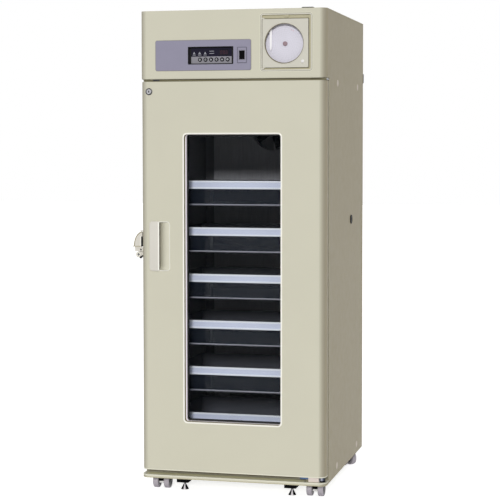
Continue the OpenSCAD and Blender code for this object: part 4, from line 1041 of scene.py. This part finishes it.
# Drawers: front rails with painted highlights on their rolled edges, lower lips and cards


def drawer_looks():
    rail_h = 34
    half = 298
    web = ((1.6, 4 - rail_h), (1.6, -4), (3.4, -4), (3.4, 4 - rail_h))
    roll = ((3.4, 0), (0.8, 0), (-0.2, 0.6), (-0.4, 1.8), (-0.4, 5.7), (-0.2, 6.9), (0.8, 7.5), (3.4, 7.5))
    strip = ((1.4, 3), (1.4, 6.6), (2.2, 7.3), (4.2, 7.3), (4.2, 3))

    def bar(shape, profile, front, level):
        """Bar across the drawer whose profile starts at a depth and a height."""
        return shape.drawn([(front + depth, level + rise) for depth, rise in profile], -half, half)

    for n in DRAWERS:
        low, high = corners(f"drawer_tray_{n}")
        body = f"drawer_{n}"
        front = low.y
        top = high.z
        piece(f"drawer_rail_{n}", bar(Shape(), web, front, top), rail_blue, body)
        # Rolled edges of the rail, in a lighter copy of its colour: painted highlights.
        edges = bar(Shape(), roll, front, top - rail_h - 0.2)
        piece(f"drawer_rail_highlights_{n}", bar(edges, roll, front, top - 7.3), rail_edge_highlight, body)
        piece(f"drawer_lip_{n}", bar(Shape(), strip, front, low.z), lip_grey, body)
        lower, upper = low.z + 7.5, top - rail_h - 0.5
        slab(f"drawer_card_{n}", (-half + 3, front + 10, lower), (-136, front + 10.8, upper), card, body)
        slab(f"drawer_card_edge_{n}", (-136, front + 9.8, lower), (-124, front + 11.4, upper),
             card_edge, body)


drawer_looks()

# Casters and feet


def caster_looks(corner):
    low, high = corners(f"wheels_{corner}")
    centre = centre_of(f"wheels_{corner}")
    turn = math.radians(50) if corner.startswith("rear") else 0.0
    way = Vector((math.cos(turn), math.sin(turn), 0))
    front = Vector((-math.sin(turn), math.cos(turn), 0))
    radius = (high.z - low.z) / 2
    gap = 12
    width = 23

    def ring(size, along, middle=centre, steps=40):
        spot = middle + way * along
        return [tuple(spot + front * u + Vector((0, 0, v))) for u, v in circle(max(size, 0.01), steps)]

    profile = [
        (18, 0), (radius - 2.6, 0), (radius - 0.8, 1), (radius, 3.4), (radius, width - 4.4),
        (radius - 0.7, width - 1.8), (radius - 2.6, width - 0.5), (radius - 7, width),
        (radius - 8.6, width - 1.4), (18, width - 1.4),
    ]
    cap = [
        (18.4, 0.6), (radius - 8.4, width - 1.2), (radius - 10, width - 0.2), (10, width - 2.6),
        (7, width - 0.6), (5.4, width), (0, width),
    ]
    tyre, hub = Shape(), Shape()
    for side in (-1, 1):
        tyre.loft([ring(size, side * (gap + across)) for size, across in profile], closed=True)
        hub.loft([ring(size, side * (gap + across)) for size, across in cap])
    hub.loft([ring(4, along) for along in (-gap - 2, gap + 2)])
    piece(f"tyres_{corner}", tyre, tread, f"roll_{corner}", replaces=(f"wheels_{corner}",))
    piece(f"wheel_hubs_{corner}", hub, enamel, f"roll_{corner}")
    stem = centre - front * 9.4 - Vector((0, 0, 5))
    cover = Shape().loft([ring(4.2, along, stem, 20) for along in (-10.6, 10.6)])
    piece(f"axle_cover_{corner}", cover, white, f"caster_{corner}")


def foot_looks(side, sign):
    x, y, _ = centre_of(f"foot_{side}")
    top = corners(f"foot_{side}")[1].z
    foot = Shape().turned((x, y, 0), [
        (15, 0), (16, 0.6), (16, 2.4), (15, 3), (14.6, 3.4), (11, 11), (8.2, 16), (6.6, 19.6),
        (5, 20), (5, top),
    ], "z")
    # The foot's finish paints a bright streak down its front as a highlight.
    piece(f"levelling_foot_{side}", foot, foot_painted_highlight, f"foot_{sign}", replaces=(f"foot_{side}",))


for corner in CASTERS:
    caster_looks(corner)
foot_looks("left", "l")
foot_looks("right", "r")

# Outside fittings: plugs, caps, spacers, hinge details, painted light, shade and highlights in and by the
# door's gaps, rear cover


def plug_looks():
    plugs = Shape()
    profile = ((11, -2), (11, 0), (14, 0), (14, 0.5), (13, 1.2), (9.5, 1.5), (8.8, 1.0), (0, 1.0))
    for side in (-1, 1):
        for y in (234, 689):
            for z in (99, 1675.5):
                steps = [(radius, side * out) for radius, out in profile]
                plugs.turned((side * CASE_HIGH.x, y, z), steps, "x", 28)
    piece("hole_plugs", plugs, plug_grey, replaces=("body_plugs",))
    cap = Shape().turned((CASE_HIGH.x, 539, 1105), [
        (19.5, 0), (19.5, 2.2), (18.4, 3.4), (16.4, 4), (15.4, 3.2), (6, 3.0), (5, 3.8), (0, 3.9),
    ], "x", 40)
    piece("port_cap", cap, black)
    top = Shape()
    top.loft([[(303 + u, 45 + v, z) for u, v in rounded_outline(w, d, 4)]
              for w, d, z in ((48, 40, 1963), (48, 40, 1966.4), (46.6, 38.6, 1968.3), (43, 35, 1969))])
    piece("top_cap", top, black)
    spacers = Shape()
    for side in (-1, 1):
        rings = []
        for w, h, y in ((25, 45, 828), (25, 45, 832), (23, 42, 860), (21, 40, 864.5), (18, 37, 866)):
            rings.append([(side * 371.5 + u, y, 1721.5 + v) for u, v in rounded_outline(w, h, 4)])
        spacers.loft(rings)
    piece("wall_spacers", spacers, black)


def hinge_looks():
    low, high = corners("hinge_brackets")
    base = low.z
    slab("hinge_film", (277, 14.2, base + 10), (311, 17, base + 18), film, edge=0.4)
    slab("hinge_cover", (311, 14, base + 0.3), (354, 15.2, base + 19), hinge_paint, edge=0.4)
    # Painted shade over the lower hinge block beside the film.
    slab("hinge_foot_shade", (300.4, 14.2, base + 0.2), (311, 15.1, base + 9.8), shade_paint)
    pin = (366, 27, base)
    # Knuckle in a finish that paints a bright reflection down its front.
    knuckle = Shape().turned(pin, [(11.2, 6), (11.6, 7), (11.6, 18.4), (11, 19.4)], "z")
    piece("hinge_knuckle", knuckle, knuckle_painted_reflection)
    seat = Shape().turned(pin, [(12.4, 0.1), (12.4, 5.4), (11.6, 6)], "z")
    piece("hinge_seat", seat, bracket_black)
    heads = Shape()
    for x in (312, 334):
        screw(heads, x, 35, base + 13, 5, "z", 1)
    piece("hinge_screws", heads, bright_steel)
    # Upper hinge plate where it shows in the gap, in painted shade.
    slab("hinge_face_shade", (324, 13.6, 1679.8), (383, 15.1, high.z), shade_paint, edge=0.4)
    catch = Shape()
    catch.block((-334, 12, 1682), (-306, 40, 1690.5))
    catch.block((-256, 16, 1683), (-214, 36, 1690.5))
    piece("door_catch", catch, foot_metal, edge=1.0)


def gap_looks():
    """Edges that show in the gaps over and under the door: painted shade on the front flange, the skirt
    under the head panel and the base lip's under-edge, painted highlights along the door's bottom edge and
    the base lip's top, painted light on the base's top under the door, and seam lines on the side.
    """
    sides, low, high = CASE_HIGH.x - 0.6, 74.5, 1690
    outer = outline_at(0, (low + high) / 2, 2 * sides, high - low, 1)
    # Front flange in darker paint: painted shade.
    flange = Shape().surround(outer, outline_at(0, 890, 650, 1500, 1), 64.05, 63.65)
    piece("front_flange", flange, flange_shade_paint)
    plan = plan_outline(765, 58, 27, 1.5)
    sill = Shape().loft([[(x, y, z) for x, y in plan] for z in (1688.6, 1690.6)])
    piece("head_sill", sill, paint)
    # Skirt under the head panel in painted shade.
    slab("head_skirt_shade", (-374, 13, 1679.6), (323, 17, 1689), shade_paint)
    # Light line along the door's bottom edge: a painted highlight.
    door_plan = plan_outline(766.6, 50, 28.3, -0.3)
    door_highlight = Shape().collar(door_plan, plan_outline(762, 46, 26, 2), 94.4, 98.4)
    piece("door_foot_highlight", door_highlight, highlight_line_paint, "door")
    base_plan = plan_outline(766, 56, 26, 2)
    # Light line along the base lip's top: a painted highlight.
    lip_top_highlight = Shape().collar(plan_outline(770.6, 60, 28.3, -0.3), base_plan, 69.6, 74.1)
    piece("base_lip_highlight", lip_top_highlight, highlight_line_paint)
    # Darker strip along the base lip's under-edge: painted shade.
    lip_under_shade = Shape().collar(plan_outline(770.5, 60, 28.2, -0.25), base_plan, 60.9, 64.2)
    piece("base_under_shade", lip_under_shade, tan_paint)
    # Paler strip on the base's top under the door: painted light in the door's shade.
    slab("base_top_light", (-370, 14, 73.9), (296, 46, 74.25), base_light_paint)
    seam = Shape().block((CASE_HIGH.x - 0.1, 66, 1954.5), (CASE_HIGH.x + 0.25, 826, 1958.5))
    seam.block((CASE_HIGH.x - 0.1, 806, 76), (CASE_HIGH.x + 0.25, 822, 1954))
    piece("side_seam", seam, seam_paint)


def rear_looks():
    low, high = corners("rear_cover")
    hoods = Shape()
    face = 830
    rear_w = 680
    rear_z = low.z + 12
    for side in (-1, 1):
        for n in range(1, 10):
            z = rear_z + n * 21
            x = side * rear_w / 4
            rings = []
            for dx, size in ((-131, 0.15), (-127, 0.8), (-122, 1), (122, 1), (127, 0.8), (131, 0.15)):
                ring = []
                for k in range(7):
                    angle = math.radians(90 * k / 6)
                    y = face + 6.5 * size * math.cos(angle) - 0.2
                    ring.append((x + dx, y, z - 1 + 11 * size * math.sin(angle)))
                ring.append((x + dx, face - 0.4, z - 1 + 11 * size - 1.2))
                ring.append((x + dx, face + 5 * size - 0.4, z - 1))
                rings.append(ring)
            hoods.loft(rings)
    piece("louvre_hoods", hoods, zinc)
    heads = Shape()
    for x in (-346, -120, 120, 346):
        for z in (low.z + 6, high.z - 6):
            screw(heads, x, face, z, 4, "y", 1)
    piece("rear_screws", heads, bright_steel)


plug_looks()
hinge_looks()
gap_looks()
rear_looks()

# Camera, light and floor


def camera_looks():
    eye = bpy.data.cameras.new("camera")
    eye.sensor_width = 36
    eye.lens = 107.2
    eye.shift_x = -0.0481
    eye.shift_y = -0.0504
    eye.clip_end = 200
    holder = placed("camera", eye)
    holder.location = at(1546.2, -5765.8, 1416.3)
    holder.rotation_euler = (math.radians(87.0), 0, math.radians(13.392))
    scene.camera = holder


def lamp(name, way, softness, power):
    """Distant soft lamp that shines along a direction."""
    light = bpy.data.lights.new(name, "SUN")
    light.angle = math.radians(softness)
    light.energy = power
    holder = placed(name, light)
    holder.rotation_euler = Vector(way).to_track_quat("-Z", "Y").to_euler()


def seen_light(tree):
    """One where a ray comes from the camera, a mirror or a pane, otherwise zero."""
    path = tree.nodes.new("ShaderNodeLightPath")
    total = path.outputs["Is Camera Ray"]
    for name in ("Is Glossy Ray", "Is Transmission Ray"):
        join = tree.nodes.new("ShaderNodeMath")
        join.operation = "MAXIMUM"
        tree.links.new(total, join.inputs[0])
        tree.links.new(path.outputs[name], join.inputs[1])
        total = join.outputs[0]
    return total


def world_looks():
    ambient = 0.36
    world = bpy.data.worlds.new("studio")
    world.use_nodes = True
    tree = world.node_tree
    back = tree.nodes["Background"]
    back.inputs["Color"].default_value = (1, 1, 1, 1)
    level = tree.nodes.new("ShaderNodeMapRange")
    level.inputs["To Min"].default_value = ambient
    level.inputs["To Max"].default_value = 1.0
    tree.links.new(seen_light(tree), level.inputs["Value"])
    tree.links.new(level.outputs[0], back.inputs["Strength"])
    scene.world = world


def floor_looks():
    glow = 0.76
    reach = 30000
    square = [(-reach, -reach, 0), (reach, -reach, 0), (reach, reach, 0), (-reach, reach, 0)]
    mesh = bpy.data.meshes.new("floor")
    mesh.from_pydata([at(*point) for point in square], [], [(0, 1, 2, 3)])
    floor = placed("floor", mesh)
    material = bpy.data.materials.new("floor")
    material.use_nodes = True
    tree = material.node_tree
    shader = tree.nodes["Principled BSDF"]
    shader.inputs["Base Color"].default_value = (0.86, 0.86, 0.86, 1)
    shader.inputs["Roughness"].default_value = 0.9
    shader.inputs["Emission Color"].default_value = (1, 1, 1, 1)
    level = tree.nodes.new("ShaderNodeMath")
    level.operation = "MULTIPLY"
    level.inputs[1].default_value = glow
    tree.links.new(seen_light(tree), level.inputs[0])
    tree.links.new(level.outputs[0], shader.inputs["Emission Strength"])
    mesh.materials.append(material)


camera_looks()
world_looks()
lamp("key", (-0.16, 1.0, -0.30), 10, 1.8)
floor_looks()
scene.view_settings.view_transform = "Standard"
